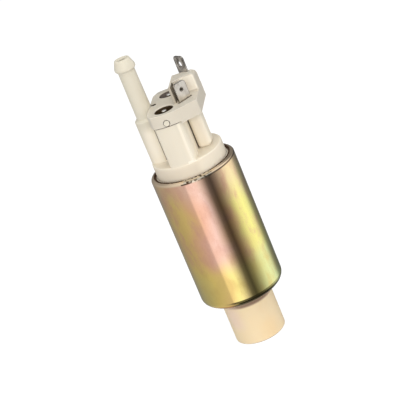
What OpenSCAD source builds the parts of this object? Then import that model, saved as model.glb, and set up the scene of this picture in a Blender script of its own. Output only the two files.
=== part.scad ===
// Electric in-tank fuel pump, in millimetres, +Z up.
// A steel can holds a gear pump at its foot and a brushed motor above it. The moulded head closes
// the top and carries the hose stem, both brushes, the terminals and the two valves.
// The origin is the centre of the inlet neck's end face. The hose stem stands towards -X.

/* [Can] */
// Outer diameter of the steel can
can_d = 38; // [37.6:0.2:41]
// Sheet thickness of the can
can_wall = 1.2; // [0.8:0.1:1.4]
// Height of the can from its lower crimp to its upper shoulder
can_h = 63.1; // [61:0.5:75]
// Outer radius of the can's lower corner
can_corner_r = 3.5; // [2.6:0.1:4]
// Outer radius of the can's upper shoulder
shoulder_r = 1.2; // [0.6:0.1:1.6]
// Rise of the rolled upper lip above the shoulder
lip_rise = 1; // [0.6:0.1:1.4]
// Radial gap between the rolled lip and the head's collar
lip_gap = 0.8; // [0.4:0.1:1]
// Radial gap between the lower crimp and the inlet neck
crimp_gap = 1.6; // [1:0.1:2.2]

/* [Inlet housing] */
// Outer diameter of the inlet neck
neck_d = 23.2; // [22:0.2:24.4]
// Height of the neck below the can
neck_h = 22.4; // [18:0.2:30]
// Wall of the neck
neck_wall = 2; // [1.6:0.1:2.6]
// Edge fillet at the neck's foot
neck_edge_r = 0.4; // [0.2:0.1:0.8]
// Thickness of the floor between the neck's bore and the gears
inlet_floor_t = 8; // [6:0.2:10]
// Height of the inlet housing's flange inside the can
inlet_flange_h = 6; // [5.6:0.1:8]

/* [Gear pump] */
// Thickness of the gears' cavity ring
ring_h = 7; // [5:0.5:9]
// Distance between the two gears' axes
gear_offset = 1; // [0.8:0.05:1.1]
// Thinnest wall of the cavity ring, beside the ring gear
cavity_wall = 3.5; // [3.2:0.1:4]
// Radius of one lobe of the ring gear
lobe_r = 4; // [3.8:0.1:4.2]
// Gap between meshing lobes
mesh_gap = 0.06; // [0.05:0.01:0.1]
// Wall of the ring gear behind its roots
ring_gear_wall = 3; // [2.5:0.1:3.2]
// Radial running gap round the ring gear
ring_gear_gap = 0.08; // [0.04:0.01:0.1]
// Running gap at each face of the gears
face_gap = 0.03; // [0.02:0.01:0.06]
// Margin between the kidney ports and the neck's bore
port_margin = 0.4; // [0.2:0.1:0.6]
// Radial width of the kidney ports
port_w = 2.6; // [2:0.1:2.8]
// Arc of each kidney port, in degrees
port_arc = 104; // [80:2:120]
// Diameter of the dowels that line up the pump's plates
dowel_d = 2; // [1.5:0.1:2.4]

/* [Port plate and drive] */
// Thickness of the port plate
port_plate_h = 6; // [5.4:0.2:8]
// Height of the rim that carries the magnets
port_rim_h = 2.4; // [1.6:0.1:4]
// Height of the boss round the lower bearing
bearing_boss_h = 1.6; // [0.8:0.1:2]
// Wall of the bearing boss
bearing_boss_wall = 1.7; // [1.2:0.1:2]
// Diameter of the drive coupling
coupling_d = 10.4; // [10:0.1:11]
// Thickness of the drive coupling
coupling_h = 2.1; // [1.6:0.1:2.4]
// Clearance round the drive coupling
coupling_gap = 0.3; // [0.2:0.05:0.4]
// Diameter of a driving pin
drive_pin_d = 1.8; // [1.4:0.1:2]
// Reach of the driving pins into the inner gear
drive_pin_reach = 3; // [2:0.2:4]
// Radius of the driving pins' circle
drive_pin_circle_r = 3.9; // [3.7:0.1:4]

/* [Shaft and bearings] */
// Diameter of the shaft
shaft_d = 4; // [3.4:0.1:4.2]
// Radial running gap of the shaft
shaft_gap = 0.03; // [0.01:0.01:0.06]
// Wall of a bearing bush
bearing_wall = 2; // [1.6:0.1:2.2]
// Length of a bearing bush
bearing_h = 4.6; // [4:0.1:5]
// Depth of the shaft's end in the inlet housing
shaft_end_depth = 3; // [2:0.2:4]

/* [Motor] */
// Radial thickness of a magnet
magnet_t = 5.1; // [4.6:0.1:5.6]
// Arc of a magnet, in degrees
magnet_arc = 146; // [130:1:152]
// Sheet thickness of the clips between the magnets
clip_t = 0.7; // [0.5:0.1:1]
// Radial length of the clips' legs
clip_leg = 4; // [3:0.1:4.4]
// Gap between the magnets and the armature
air_gap = 0.6; // [0.5:0.05:0.9]
// Height of a coil head
coil_head_h = 4.2; // [3.4:0.1:4.6]
// Depth of the core's slots
slot_depth = 5.6; // [5:0.1:6]
// Width of a slot's mouth
slot_mouth_w = 1.5; // [1:0.1:2]
// Thickness of the pole shoes at the slot's mouth
shoe_t = 1.2; // [0.8:0.1:1.6]
// Gap between the winding and the slot's walls
slot_liner_t = 0.15; // [0.1:0.05:0.3]
// Thickness of the commutator segments
segment_h = 2.2; // [1.6:0.1:2.6]
// Gap between two commutator segments
segment_gap = 0.6; // [0.4:0.05:0.9]
// Rim of the commutator outside the brush track
segment_margin = 0.5; // [0.3:0.1:0.8]
// Thickness of the commutator's hub under the segments
hub_h = 1.4; // [1:0.1:1.8]
// Outer diameter of the hub's sleeve inside the segments
hub_sleeve_d = 9; // [8:0.2:10]

/* [Brushes] */
// Wall between a well's cap and the tower's outer wall
well_wall = 2.3; // [2.1:0.1:2.5]
// Wall between a well's cap and the tower's inner wall
well_back_wall = 1.8; // [1.4:0.1:2.4]
// Width of a brush along the track
brush_w = 6; // [5.4:0.1:6.4]
// Width of a brush across the track
brush_t = 5; // [4.6:0.1:5.2]
// Length of a brush
brush_len = 12; // [10:0.2:13]
// Gap between a brush and its guide, each side
brush_guide_gap = 0.1; // [0.06:0.01:0.15]
// Gap left between a brush and the commutator
brush_gap = 0.04; // [0.03:0.01:0.06]
// Reach of a brush below the head
brush_reach = 1.2; // [0.8:0.1:1.6]
// Room above a brush for its travel
brush_room = 2.4; // [2.2:0.1:3]
// Wire diameter of a brush spring
brush_spring_wire = 0.5; // [0.4:0.05:0.6]
// Outer diameter of a brush spring
brush_spring_d = 4.8; // [4.2:0.1:5]
// Diameter of a brush's copper lead
brush_lead_d = 0.9; // [0.6:0.1:1.2]
// Diameter of the spring's well
well_d = 7; // [6.6:0.1:7.4]
// Diameter of the cap that closes a well
well_cap_d = 8; // [7.8:0.1:8.2]
// Thickness of a well's cap
well_cap_h = 1.5; // [1:0.1:2]
// Diameter of the post on a well's cap
cap_post_d = 2.2; // [1.6:0.1:2.6]

/* [Head] */
// Height of the head's flange below the can's shoulder
cap_flange_h = 6.3; // [6:0.1:8]
// Radial gap between the can and what fits in it
plug_gap = 0.1; // [0.05:0.05:0.2]
// Length of the skirt that holds the magnets down
skirt_h = 5.5; // [4.6:0.1:6.5]
// Radial thickness of the skirt
skirt_t = 3.2; // [2.6:0.1:3.3]
// Width of the can's shoulder round the head's collar
shoulder_w = 3.2; // [2.8:0.1:3.3]
// Height of the collar above the can's shoulder
collar_h = 6.9; // [5.6:0.1:9]
// Edge fillet of the collar
collar_edge_r = 0.6; // [0.3:0.1:1]
// Height of the brush towers above the collar
tower_h = 18.4; // [14:0.2:22]
// Width of a brush tower
tower_w = 12.2; // [12:0.1:12.8]
// Step from the collar's edge in to a tower's outer wall
tower_inset = 0.1; // [0.1:0.1:0.6]
// Corner radius of a tower
tower_corner_r = 2.4; // [1:0.1:3]
// Width of the bevel at a tower's outer corners
tower_bevel_w = 1.6; // [1:0.1:2.4]
// Length of the bevel at a tower's outer corners
tower_bevel_l = 3.4; // [2.6:0.1:4.4]
// Length of a tower's wide part
tower_wide_l = 6.9; // [5:0.1:9]
// Step in a tower's side behind its wide part
tower_step = 0.3; // [0.1:0.1:0.6]
// Height of the seam between a tower's walls and the cover
seam_h = 0.3; // [0.2:0.05:0.4]
// Depth of the seam
seam_depth = 0.6; // [0.4:0.1:0.8]
// Thickness of the webs between the towers
web_t = 3; // [2:0.1:4]
// Distance of the pillar's bore from the axis, away from the stem
pillar_x = 9; // [8.6:0.1:10]
// Distance of the pillar's bore from the stem's plane
pillar_y = 2; // [0:0.1:3]
// Wall of the pillar beside and behind its bore
pillar_wall = 1; // [0.8:0.1:1.2]
// Wall of the pillar on its outer side
pillar_outer_wall = 1.3; // [1.2:0.1:1.6]
// Reach of the pillar in front of its bore's axis
pillar_reach = 5; // [4:0.1:5.4]
// Corner radius of the pillar
pillar_corner_r = 2; // [1:0.1:2.4]
// Step in to the pillar's foot
pillar_foot_step = 0.6; // [0.3:0.1:0.7]
// Height of the pillar's foot
pillar_foot_h = 0.9; // [0.5:0.1:1.4]
// Diameter of the round nubs that hold the cover
nub_d = 2.4; // [2:0.1:2.6]
// Reach of the nubs past the cover's edge
nub_proud = 0.2; // [0.1:0.1:0.6]
// Width of the neck between a nub and its tower
nub_neck_w = 1.6; // [1.2:0.1:2]
// Distance of the neck behind the cover's edge
nub_neck_in = 0.8; // [0.5:0.1:0.9]
// Gap round the nubs
nub_gap = 0.3; // [0.1:0.1:0.4]
// Depth by which the hole round a nub opens into the cover's underside
nub_bite = 0.1; // [0.05:0.05:0.3]

/* [Outlet stem] */
// Diameter of the boss under the stem
boss_d = 10.4; // [9.8:0.1:10.6]
// Reach of the boss past the collar
boss_proud = 0.1; // [-0.2:0.1:0.2]
// Height of the boss above the collar
boss_h = 20.1; // [19:0.1:23]
// Chamfer at the boss's top
boss_chamfer = 0.7; // [0.3:0.1:1]
// Diameter of the hose stem
stem_d = 7.8; // [7.2:0.1:8]
// Diameter of the stem below the bead
stem_top_d = 7.4; // [7:0.1:7.8]
// Height of the stem's tip above the collar
stem_h = 47.6; // [40:0.1:60]
// Diameter of the stem's bore
stem_bore_d = 3.8; // [3:0.1:4.4]
// Diameter of the bore's mouth at the tip
stem_mouth_d = 5.4; // [4.8:0.1:5.8]
// Diameter of the hose bead
bead_d = 9.2; // [8.8:0.1:9.8]
// Height of the bead from its lower edge to the tip
bead_h = 5.5; // [4.4:0.1:6.5]
// Height of the bead's slanted lower side
bead_slope_h = 1; // [0.5:0.1:1.4]
// Length of the bead's straight land
bead_land = 1; // [0.6:0.1:1.4]
// Diameter of the stem's tip
tip_d = 6.6; // [6:0.1:7]

/* [Outlet valve] */
// Diameter of the valve's chamber
valve_bore_d = 7; // [6.8:0.1:7.2]
// Height of the valve's seat bush
valve_seat_h = 6; // [5:0.2:8]
// Diameter of the hole through the seat
valve_hole_d = 3.4; // [3:0.1:3.8]
// Diameter of the valve's head
valve_head_d = 5.6; // [5:0.1:6]
// Thickness of the valve's head
valve_head_h = 1.6; // [1.2:0.1:2]
// Diameter of the valve's stem
valve_stem_d = 1.8; // [1.6:0.1:2]
// Running gap of the valve's stem in its guide
valve_stem_gap = 0.07; // [0.04:0.01:0.09]
// Thickness of the valve's guide
valve_guide_h = 2; // [1.4:0.1:2.6]
// Length of the valve's spring
valve_spring_h = 8; // [7:0.2:9]
// Wire diameter of the valve's spring
valve_spring_wire = 0.4; // [0.3:0.05:0.5]
// Outer diameter of the valve's spring
valve_spring_d = 4.4; // [4:0.1:4.8]

/* [Relief valve] */
// Diameter of the relief valve's bore
relief_bore_d = 3.8; // [3.6:0.1:4]
// Height of the relief valve's seat
relief_seat_h = 5; // [4:0.2:6]
// Diameter of the hole through the seat
relief_hole_d = 1.6; // [1.2:0.1:1.8]
// Diameter of the ball
relief_ball_d = 3.3; // [3:0.1:3.4]
// Length of the relief spring
relief_spring_h = 10; // [9:0.2:12]
// Wire diameter of the relief spring
relief_spring_wire = 0.35; // [0.3:0.05:0.4]
// Outer diameter of the relief spring
relief_spring_d = 3.1; // [2.9:0.1:3.2]
// Diameter of the vent to the tank
relief_vent_d = 1.4; // [1:0.1:1.8]

/* [Seals] */
// Radial depth of a seal's groove
seal_groove_depth = 1.4; // [1.2:0.1:1.6]
// Room above and below a seal in its groove
seal_room = 0.1; // [0.05:0.05:0.3]

/* [Terminal cover] */
// Thickness of the cover plate
cover_t = 5.4; // [4.6:0.1:7]
// Step from the collar's edge in to the cover's straight side
cover_right_inset = 1; // [0.8:0.1:1.6]
// Distance from the axis to the cover's end beside the stem
cover_left_x = 7.4; // [7:0.1:8]
// Reach of the cover's front and rear edges past the collar
cover_overhang = 0.3; // [0.2:0.1:1]
// Reach of the cover's front corner past the well's axis
cover_front_reach = 0.9; // [0.2:0.1:1.6]
// Reach of the cover's rear corner past the well's axis
cover_rear_reach = 2.2; // [2:0.1:2.4]
// Corner radius of the cover
cover_corner_r = 1.2; // [0.6:0.1:2]
// Drop of the cover's edge beside the towers
cover_skirt_h = 0.9; // [0.5:0.1:1.2]
// Gap between that edge and the tower and pillar
cover_skirt_gap = 0.3; // [0.2:0.05:0.5]
// Gap between the cover and the stem's boss
cover_boss_gap = 0.15; // [0.1:0.05:0.3]
// Diameter of the notch beside the stem
notch_d = 2.4; // [1.8:0.1:2.8]
// Distance of the notch behind the stem's plane
notch_y = 0.5; // [0:0.1:1]
// Diameter of the openings over the wells
opening_d = 8.3; // [8.2:0.1:8.6]
// Chamfer round the openings
opening_chamfer = 0.4; // [0.2:0.1:0.6]

/* [Connector block] */
// Height of the block above the cover plate
block_h = 7.6; // [6:0.1:8.4]
// Margin between the rear opening and the block's left wall
block_margin = 0.65; // [0.5:0.05:0.85]
// Distance from the stem's plane to the block's front wall
block_front_y = 1.6; // [1:0.1:2]
// Distance from the stem's plane to the block's sloped rear edge
block_slope_y = 7.4; // [6.8:0.1:8]
// Thickness of the nook's side wall
nook_wall = 1.1; // [0.8:0.1:1.2]
// Reach of the nook's side wall in front of the stem's plane
nook_reach = 7.75; // [7.2:0.05:8.4]
// Distance in front of the stem's plane at which the nook's slanted wall starts
nook_slant_y = 2.2; // [1.8:0.1:2.6]
// Corner radius of the block
block_corner_r = 0.8; // [0.4:0.1:1.2]
// Bevel along the block's outer top edge
block_bevel = 1.2; // [0.6:0.1:1.6]

/* [Terminals] */
// Width of a blade terminal
tab_w = 6.3; // [6:0.1:6.3]
// Thickness of a blade terminal
tab_t = 0.8; // [0.5:0.1:0.8]
// Free height of a blade terminal
tab_h = 8; // [7:0.1:9]
// Chamfer at a blade's tip
tab_tip = 1; // [0.6:0.1:1.4]
// Diameter of the hole in the low blade
low_hole_d = 1.6; // [1.2:0.1:2]
// Diameter of the hole in the tall blade
high_hole_d = 2.6; // [1.6:0.1:2.8]
// Distance of the low blade from the nook's side wall
low_tab_in = 3.2; // [3.1:0.1:3.5]
// Distance of the low blade behind the front well's axis
low_tab_back = 4.2; // [3.8:0.1:4.4]
// Distance of the tall blade from the cover's straight side
high_tab_in = 4.8; // [4.4:0.1:5.4]
// Distance of the tall blade in front of the cover's rear corner
high_tab_front = 3.2; // [3:0.1:3.4]
// Width of the strap from a blade to its brush
strap_w = 3; // [2.4:0.1:3.4]
// Radius of the strap's eye round the cap's post
strap_eye_r = 3.5; // [3:0.1:3.8]
// Gap round the blades and straps in the cover
strap_gap = 0.15; // [0.1:0.05:0.25]
// Gap beside and in front of the low blade in the cover
low_slot_gap = 0.7; // [0.3:0.1:0.7]

/* [Hidden] */
$fn = 64;

// Overlap of a cut with the air beyond the face it starts from
eps = 0.5;
// Steps in a rounded corner of a profile
corner_steps = 6;
// Lobes of the ring gear; the inner gear has one fewer
ring_lobes = 7;
// Slots of the core and segments of the commutator
pole_count = 8;
// Driving pins on the coupling
pin_count = 3;
// Points along the inner gear's outline, and how closely they crowd in its valleys
gear_points = 120;
gear_crowding = 0.8;
// Curls of the three kinds of spring
brush_curls = 9;
valve_curls = 5;
relief_curls = 7;
// Room at each end of a spring
spring_gap = 0.05;

can_r = can_d / 2;
can_in_r = can_r - can_wall;
plug_r = can_in_r - plug_gap;
collar_r = can_r - shoulder_w;
lip_r = collar_r + lip_gap;
crimp_r = neck_d / 2 + crimp_gap;
neck_bore_r = neck_d / 2 - neck_wall;
port_out_r = neck_bore_r - port_margin;
port_in_r = port_out_r - port_w;

// Places in the head
tower_r = collar_r - tower_inset;
well_offset = tower_r - well_wall - well_cap_d / 2;
tower_split = well_offset - well_cap_d / 2 - well_back_wall;
outlet_x = collar_r + boss_proud - boss_d / 2;
cover_right_x = collar_r - cover_right_inset;
cover_edge_r = collar_r + cover_overhang;
cover_front_y = well_offset + cover_front_reach;
cover_rear_y = well_offset + cover_rear_reach;
block_left_x = opening_d / 2 + block_margin;
nook_x = block_left_x + nook_wall;
low_tab_x = nook_x + low_tab_in;
low_tab_y = well_offset - low_tab_back;
high_tab_x = cover_right_x - high_tab_in;
high_tab_y = cover_rear_y - high_tab_front;
nub_root = 1.2;
nub_x = 0.6;
nub_rise = nub_d / 2 + nub_gap - nub_bite;
below_skirt = cover_skirt_h + eps;
pillar_left = relief_bore_d / 2 + pillar_wall;
pillar_right = relief_bore_d / 2 + pillar_outer_wall;
nub_len = cover_edge_r + nub_proud - tower_r + nub_root;

// Heights of the stack inside the can
z_can = neck_h;
z_floor = z_can + can_wall;
z_inlet = z_floor + inlet_flange_h;
z_ring = z_inlet + ring_h;
z_plate = z_ring + port_plate_h;
z_rim = z_plate + port_rim_h;
z_shoulder = z_can + can_h;
z_head = z_shoulder - cap_flange_h;
z_skirt = z_head - skirt_h;
z_collar = z_shoulder + collar_h;
z_tower = z_collar + tower_h;
z_boss = z_collar + boss_h;
z_tip = z_collar + stem_h;
z_cover = z_tower + cover_t;
z_block = z_cover + block_h;

// Heights on the rotor
z_track = z_head - brush_reach;
z_segment = z_track - segment_h;
z_hub = z_segment - hub_h;
core_gap = 0.2;
z_core_top = z_hub - core_gap - coil_head_h;
z_bearing_top = z_plate + bearing_boss_h;
z_bearing = z_bearing_top - bearing_h;
z_core = z_rim + core_gap + coil_head_h;
bearing_inset = 0.4;
z_upper_bearing = z_head + bearing_inset;
shaft_r = shaft_d / 2;
bearing_r = shaft_r + shaft_gap + bearing_wall;
bearing_step = 0.6;
bearing_ledge = 1;
coupling_recess_h = coupling_h + 2 * coupling_gap;
magnet_in_r = plug_r - magnet_t;
armature_r = magnet_in_r - air_gap;
track_r = well_offset + brush_t / 2 + segment_margin;
spacer_r = shaft_r + 1.4;
spacer_gap = 0.1;
shaft_end_room = 0.4;

// Gears, from the cavity ring inwards
ring_gear_r = plug_r - cavity_wall - gear_offset - ring_gear_gap;
ring_root_r = ring_gear_r - ring_gear_wall;
inner_tip_r = ring_root_r - gear_offset - mesh_gap;
lobe_circle_r = inner_tip_r + lobe_r - gear_offset;
dowel_circle_r = (ring_gear_r + ring_gear_gap + plug_r - seal_groove_depth) / 2;
dowel_reach = 1.8;
dowel_room = 0.2;

// Brush and valve stacks
z_brush = z_track + brush_gap;
z_brush_top = z_brush + brush_len;
z_guide_top = z_brush_top + brush_room;
z_cap_seat = z_tower - well_cap_h;
z_valve_seat = z_head + valve_seat_h;
z_valve_top = z_valve_seat + brush_gap + valve_head_h;
z_valve_guide = z_valve_top + valve_spring_h;
z_chamber = z_valve_guide + valve_guide_h;
chamber_neck_h = 9;
z_relief_seat = z_head + relief_seat_h;
ball_r = relief_ball_d / 2;
seat_lift = 0.02;
z_ball = z_relief_seat + sqrt(ball_r * ball_r - relief_hole_d * relief_hole_d / 4) + seat_lift;
relief_coil_r = (relief_spring_d - relief_spring_wire) / 2;
ball_to_wire = ball_r + relief_spring_wire / 2 + spring_gap;
z_relief_spring = z_ball + sqrt(ball_to_wire * ball_to_wire - relief_coil_r * relief_coil_r)
    - relief_spring_wire / 2;
z_relief_top = z_relief_spring + relief_spring_h + spring_gap;

// Seals, at a set distance from the inner face of their flange
seal_margin = 2.1;
seal_r = (seal_groove_depth + plug_gap) / 2;
seal_circle_r = can_in_r - seal_r;
z_inlet_seal = z_inlet - seal_margin;
z_cap_seal = z_head + seal_margin;

cream = "#E8E0CB";
tan_plastic = "#F0CFA8";
zinc = "#C8A96A";
steel = "#B8BCC0";
copper = "#B87345";
rubber = "#26262A";
carbon = "#3A3A3E";
ferrite = "#4A4A4C";
bronze = "#A9854F";
tin = "#B5B3B8";

// Height of the lip's underside at radius r
function lip_under(r) = z_shoulder + lip_rise * (can_r - r) / (can_r - lip_r) - can_wall;

function unit(v) = v / norm(v);

// Points of the fillet at corner b of the path a, b, c; a corner is [x, y] or [x, y, radius]
function corner(a, b, c) =
    let (p = [b[0], b[1]],
         u = unit([a[0], a[1]] - p),
         v = unit([c[0], c[1]] - p),
         r = is_undef(b[2]) ? 0 : b[2],
         half = acos(u * v) / 2,
         middle = r == 0 ? p : p + unit(u + v) * r / sin(half),
         from = p + u * (r / tan(half)) - middle,
         to = p + v * (r / tan(half)) - middle,
         start = atan2(from[1], from[0]),
         turn = (atan2(to[1], to[0]) - start + 540) % 360 - 180)
    r == 0 ? [p] : [for (i = [0:corner_steps])
        middle + r * [cos(start + turn * i / corner_steps), sin(start + turn * i / corner_steps)]];

// Closed outline through corners, each with its own fillet
function rounded(corners) =
    let (n = len(corners))
    [for (i = [0:n - 1]) each corner(corners[(i + n - 1) % n], corners[i], corners[(i + 1) % n])];

// Points on a circle of radius r from angle from to angle to
function arc(r, from, to, steps) =
    [for (i = [0:steps]) let (a = from + (to - from) * i / steps) [r * cos(a), r * sin(a)]];

// Point t degrees along the inner gear's outline: the curve that keeps all the ring's lobes in touch
function gear_point(t) =
    let (k = ring_lobes,
         r = lobe_r + mesh_gap,
         s = atan2(sin((1 - k) * t), lobe_circle_r / (gear_offset * k) - cos((1 - k) * t)))
    [lobe_circle_r * cos(t) - r * cos(t + s) - gear_offset * cos(k * t),
     -lobe_circle_r * sin(t) + r * sin(t + s) + gear_offset * sin(k * t)];

// Centre line of a coil and the ring of wire round one of its points
function coil_centre(r, pitch, a) = [r * cos(a), r * sin(a), pitch * a / 360];
function coil_ring(r, pitch, wire_r, a, sides) =
    let (out = [cos(a), sin(a), 0],
         along = unit([-r * sin(a), r * cos(a), pitch / 360 * 180 / PI]),
         up = cross(out, along))
    [for (j = [0:sides - 1])
        coil_centre(r, pitch, a) + wire_r * (cos(360 * j / sides) * out + sin(360 * j / sides) * up)];

// Open coil spring of one wire, standing on z = 0
module coil_spring(outer_d, wire_d, length, curls) {
    rings = 8;
    sides = 6;
    r = (outer_d - wire_d) / 2;
    pitch = (length - wire_d) / curls;
    count = curls * rings;
    points = [for (i = [0:count]) each coil_ring(r, pitch, wire_d / 2, 360 * i / rings, sides)];
    bands = [for (i = [0:count - 1], j = [0:sides - 1])
        let (a = i * sides + j, b = i * sides + (j + 1) % sides)
        each [[a, b, b + sides], [a, b + sides, a + sides]]];
    foot = [for (j = [1:sides - 2]) [0, j + 1, j]];
    last = count * sides;
    head = [for (j = [1:sides - 2]) [last, last + j, last + j + 1]];
    echo(curls = curls, least_gap = pitch - wire_d);
    translate([0, 0, wire_d / 2])
        polyhedron(points = points, faces = concat(bands, foot, head));
}

module at_front_well() translate([0, -well_offset, 0]) children();
module at_rear_well() translate([0, well_offset, 0]) children();
module at_outlet() translate([-outlet_x, 0, 0]) children();
module at_pillar() translate([pillar_x, pillar_y, 0]) children();

// Upright cylinder between two heights
module post(r, from, to) translate([0, 0, from]) cylinder(r = r, h = to - from);
// Upright tube between two heights
module sleeve(r_out, r_in, from, to) {
    difference() {
        post(r_out, from, to);
        post(r_in, from - eps, to + eps);
    }
}
// Plan of a ring
module ring(r_out, r_in) {
    difference() {
        circle(r = r_out);
        circle(r = r_in);
    }
}
// Upright ring sector, centred on angle middle
module sector(r_out, r_in, from, to, middle, angle) {
    translate([0, 0, from])
        rotate([0, 0, middle - angle / 2])
            rotate_extrude(angle = angle)
                translate([r_in, 0])
                    square([r_out - r_in, to - from]);
}

// Steel can, rolled in over the inlet housing below and over the head above
module can() {
    color(zinc)
        rotate_extrude($fn = 128)
            polygon(rounded([
                [crimp_r, z_can],
                [can_r, z_can, can_corner_r],
                [can_r, z_shoulder, shoulder_r],
                [lip_r, z_shoulder + lip_rise, 0.4],
                [lip_r, z_shoulder + lip_rise - can_wall],
                [can_in_r, lip_under(can_in_r)],
                [can_in_r, z_floor, can_corner_r - can_wall],
                [crimp_r, z_floor]]));
}

// Kidney-shaped port between two heights, on the side given by angle middle
module kidney(from, to, middle) {
    sector(port_out_r, port_in_r, from, to, middle, port_arc);
}

module dowels(from, to) {
    for (side = [-1, 1])
        translate([0, side * dowel_circle_r, 0])
            post(dowel_d / 2, from, to);
}

// Moulded inlet with the neck that the strainer fits
module inlet_housing() {
    edge = 0.5;
    color(tan_plastic)
        difference() {
            rotate_extrude($fn = 128)
                polygon(rounded([
                    [0, z_inlet - inlet_floor_t],
                    [neck_bore_r, z_inlet - inlet_floor_t, 1],
                    [neck_bore_r, edge],
                    [neck_bore_r + edge, 0],
                    [neck_d / 2, 0, neck_edge_r],
                    [neck_d / 2, z_floor],
                    [plug_r, z_floor, can_corner_r - can_wall],
                    [plug_r, z_inlet],
                    [0, z_inlet]]));
            seal_groove(z_inlet_seal);
            kidney(z_inlet - inlet_floor_t - eps, z_inlet + eps, 90);
            post(shaft_r + shaft_gap, z_inlet - shaft_end_depth - shaft_end_room, z_inlet + eps);
            dowels(z_inlet - dowel_reach - dowel_room, z_inlet + eps);
        }
}

module seal_groove(z) {
    half = seal_r + seal_room;
    sleeve(can_r, plug_r - seal_groove_depth, z - half, z + half);
}

module seal(z) {
    color(rubber)
        rotate_extrude()
            translate([seal_circle_r, z])
                circle(r = seal_r, $fn = 24);
}
module inlet_seal() seal(z_inlet_seal);
module cap_seal() seal(z_cap_seal);

// Ring with the off-centre bore that the gears turn in
module cavity_ring() {
    color(steel)
        difference() {
            post(plug_r, z_inlet, z_ring);
            translate([gear_offset, 0, 0])
                post(ring_gear_r + ring_gear_gap, z_inlet - eps, z_ring + eps);
            dowels(z_inlet - eps, z_ring + eps);
        }
}

module dowel_pins() color(steel) dowels(z_inlet - dowel_reach, z_ring + dowel_reach);

// Ring gear with seven inward lobes
module outer_gear() {
    color(steel)
        translate([gear_offset, 0, z_inlet + face_gap])
            linear_extrude(ring_h - 2 * face_gap)
                intersection() {
                    circle(r = ring_gear_r, $fn = 128);
                    union() {
                        ring(ring_gear_r + eps, ring_root_r);
                        for (i = [0:ring_lobes - 1])
                            rotate([0, 0, 180 + 360 * i / ring_lobes])
                                translate([lobe_circle_r, 0])
                                    circle(r = lobe_r);
                    }
                }
}

// Place along the inner gear's outline of its point i
function gear_place(i) =
    let (even = 360 * i / gear_points, teeth = ring_lobes - 1)
    even - gear_crowding * sin(teeth * even) * 180 / PI / teeth;

// Inner gear with six lobes, driven by the coupling's pins
module inner_gear() {
    color(steel)
        difference() {
            translate([0, 0, z_inlet + face_gap])
                linear_extrude(ring_h - 2 * face_gap)
                    polygon([for (i = [0:gear_points - 1]) gear_point(gear_place(i))]);
            post(shaft_r + shaft_gap, z_inlet - eps, z_ring + eps);
            drive_pins(drive_pin_d / 2 + mesh_gap, z_ring - drive_pin_reach - 0.5, z_ring + eps);
        }
}

module drive_pins(r, from, to) {
    for (i = [0:pin_count - 1])
        rotate([0, 0, 360 * i / pin_count + 30])
            translate([drive_pin_circle_r, 0, 0])
                post(r, from, to);
}

// Coupling pressed on the shaft, with the pins that drive the inner gear
module drive_coupling() {
    z = z_ring + coupling_gap;
    color("ivory")
        difference() {
            union() {
                post(coupling_d / 2, z, z + coupling_h);
                drive_pins(drive_pin_d / 2, z_ring - drive_pin_reach, z + eps);
            }
            post(shaft_r, z - eps, z + coupling_h + eps);
        }
}

// Plate between pump and motor, with the outlet port, the magnets' rim and the bearing's boss
module port_plate() {
    rim_in_r = magnet_in_r + 0.4;
    color(steel)
        difference() {
            union() {
                post(plug_r, z_ring, z_plate);
                sleeve(plug_r, rim_in_r, z_plate - eps, z_rim);
                post(bearing_r + bearing_boss_wall, z_plate - eps, z_bearing_top);
            }
            post(bearing_r, z_bearing, z_bearing_top + eps);
            post(shaft_r + bearing_step, z_ring - eps, z_bearing + eps);
            post(coupling_d / 2 + coupling_gap, z_ring - eps, z_ring + coupling_recess_h);
            kidney(z_ring - eps, z_plate + eps, -90);
            dowels(z_ring - eps, z_ring + dowel_reach + dowel_room);
        }
}

module bearing(z) color(bronze) sleeve(bearing_r, shaft_r + shaft_gap, z, z + bearing_h);
module lower_bearing() bearing(z_bearing);
module upper_bearing() bearing(z_upper_bearing);

module shaft() {
    tip = 0.4;
    z = z_inlet - shaft_end_depth;
    top = z_upper_bearing + bearing_h - 0.2;
    color("silver")
        rotate_extrude()
            polygon([[0, z], [shaft_r - tip, z], [shaft_r, z + tip],
                [shaft_r, top - tip], [shaft_r - tip, top], [0, top]]);
}

module lower_spacer() {
    color(steel) sleeve(spacer_r, shaft_r, z_bearing_top + spacer_gap, z_core);
}
module upper_spacer() {
    color(steel) sleeve(spacer_r, shaft_r, z_track, z_upper_bearing - spacer_gap);
}

// Plan of one slot of the core, narrowed all round by inset
module slot_plan(inset) {
    root = armature_r - slot_depth;
    shoe = armature_r - shoe_t - inset;
    tooth_half = 1.3;
    side = 180 / pole_count;
    polygon([
        [root + inset, root * tan(side) - tooth_half - inset],
        [shoe, shoe * tan(side) - tooth_half - inset],
        [shoe, -shoe * tan(side) + tooth_half + inset],
        [root + inset, -root * tan(side) + tooth_half + inset]]);
}

module each_pole() {
    for (i = [0:pole_count - 1])
        rotate([0, 0, 360 * (i + 0.5) / pole_count])
            children();
}

// Stack of laminations with slots for the coils
module armature_core() {
    color(steel)
        translate([0, 0, z_core])
            linear_extrude(z_core_top - z_core)
                difference() {
                    circle(r = armature_r, $fn = 96);
                    circle(r = shaft_r);
                    each_pole() slot_plan(0);
                    each_pole()
                        translate([armature_r - shoe_t - 0.1, -slot_mouth_w / 2])
                            square([shoe_t + eps, slot_mouth_w]);
                }
}

// One coil head: a rounded ring of wire with grooves between the coils
module coil_head(z) {
    in_r = spacer_r + 0.5;
    out_r = armature_r - shoe_t;
    groove = 0.7;
    difference() {
        rotate_extrude()
            polygon(rounded([
                [in_r, z, 0.8], [out_r, z, 1.4],
                [out_r, z + coil_head_h, 1.4], [in_r, z + coil_head_h, 0.8]]));
        for (i = [0:pole_count - 1])
            rotate([0, 0, 360 * i / pole_count])
                translate([in_r + 1.5, -groove / 2, z - eps])
                    cube([armature_r, groove, coil_head_h + 2 * eps]);
    }
}

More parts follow.
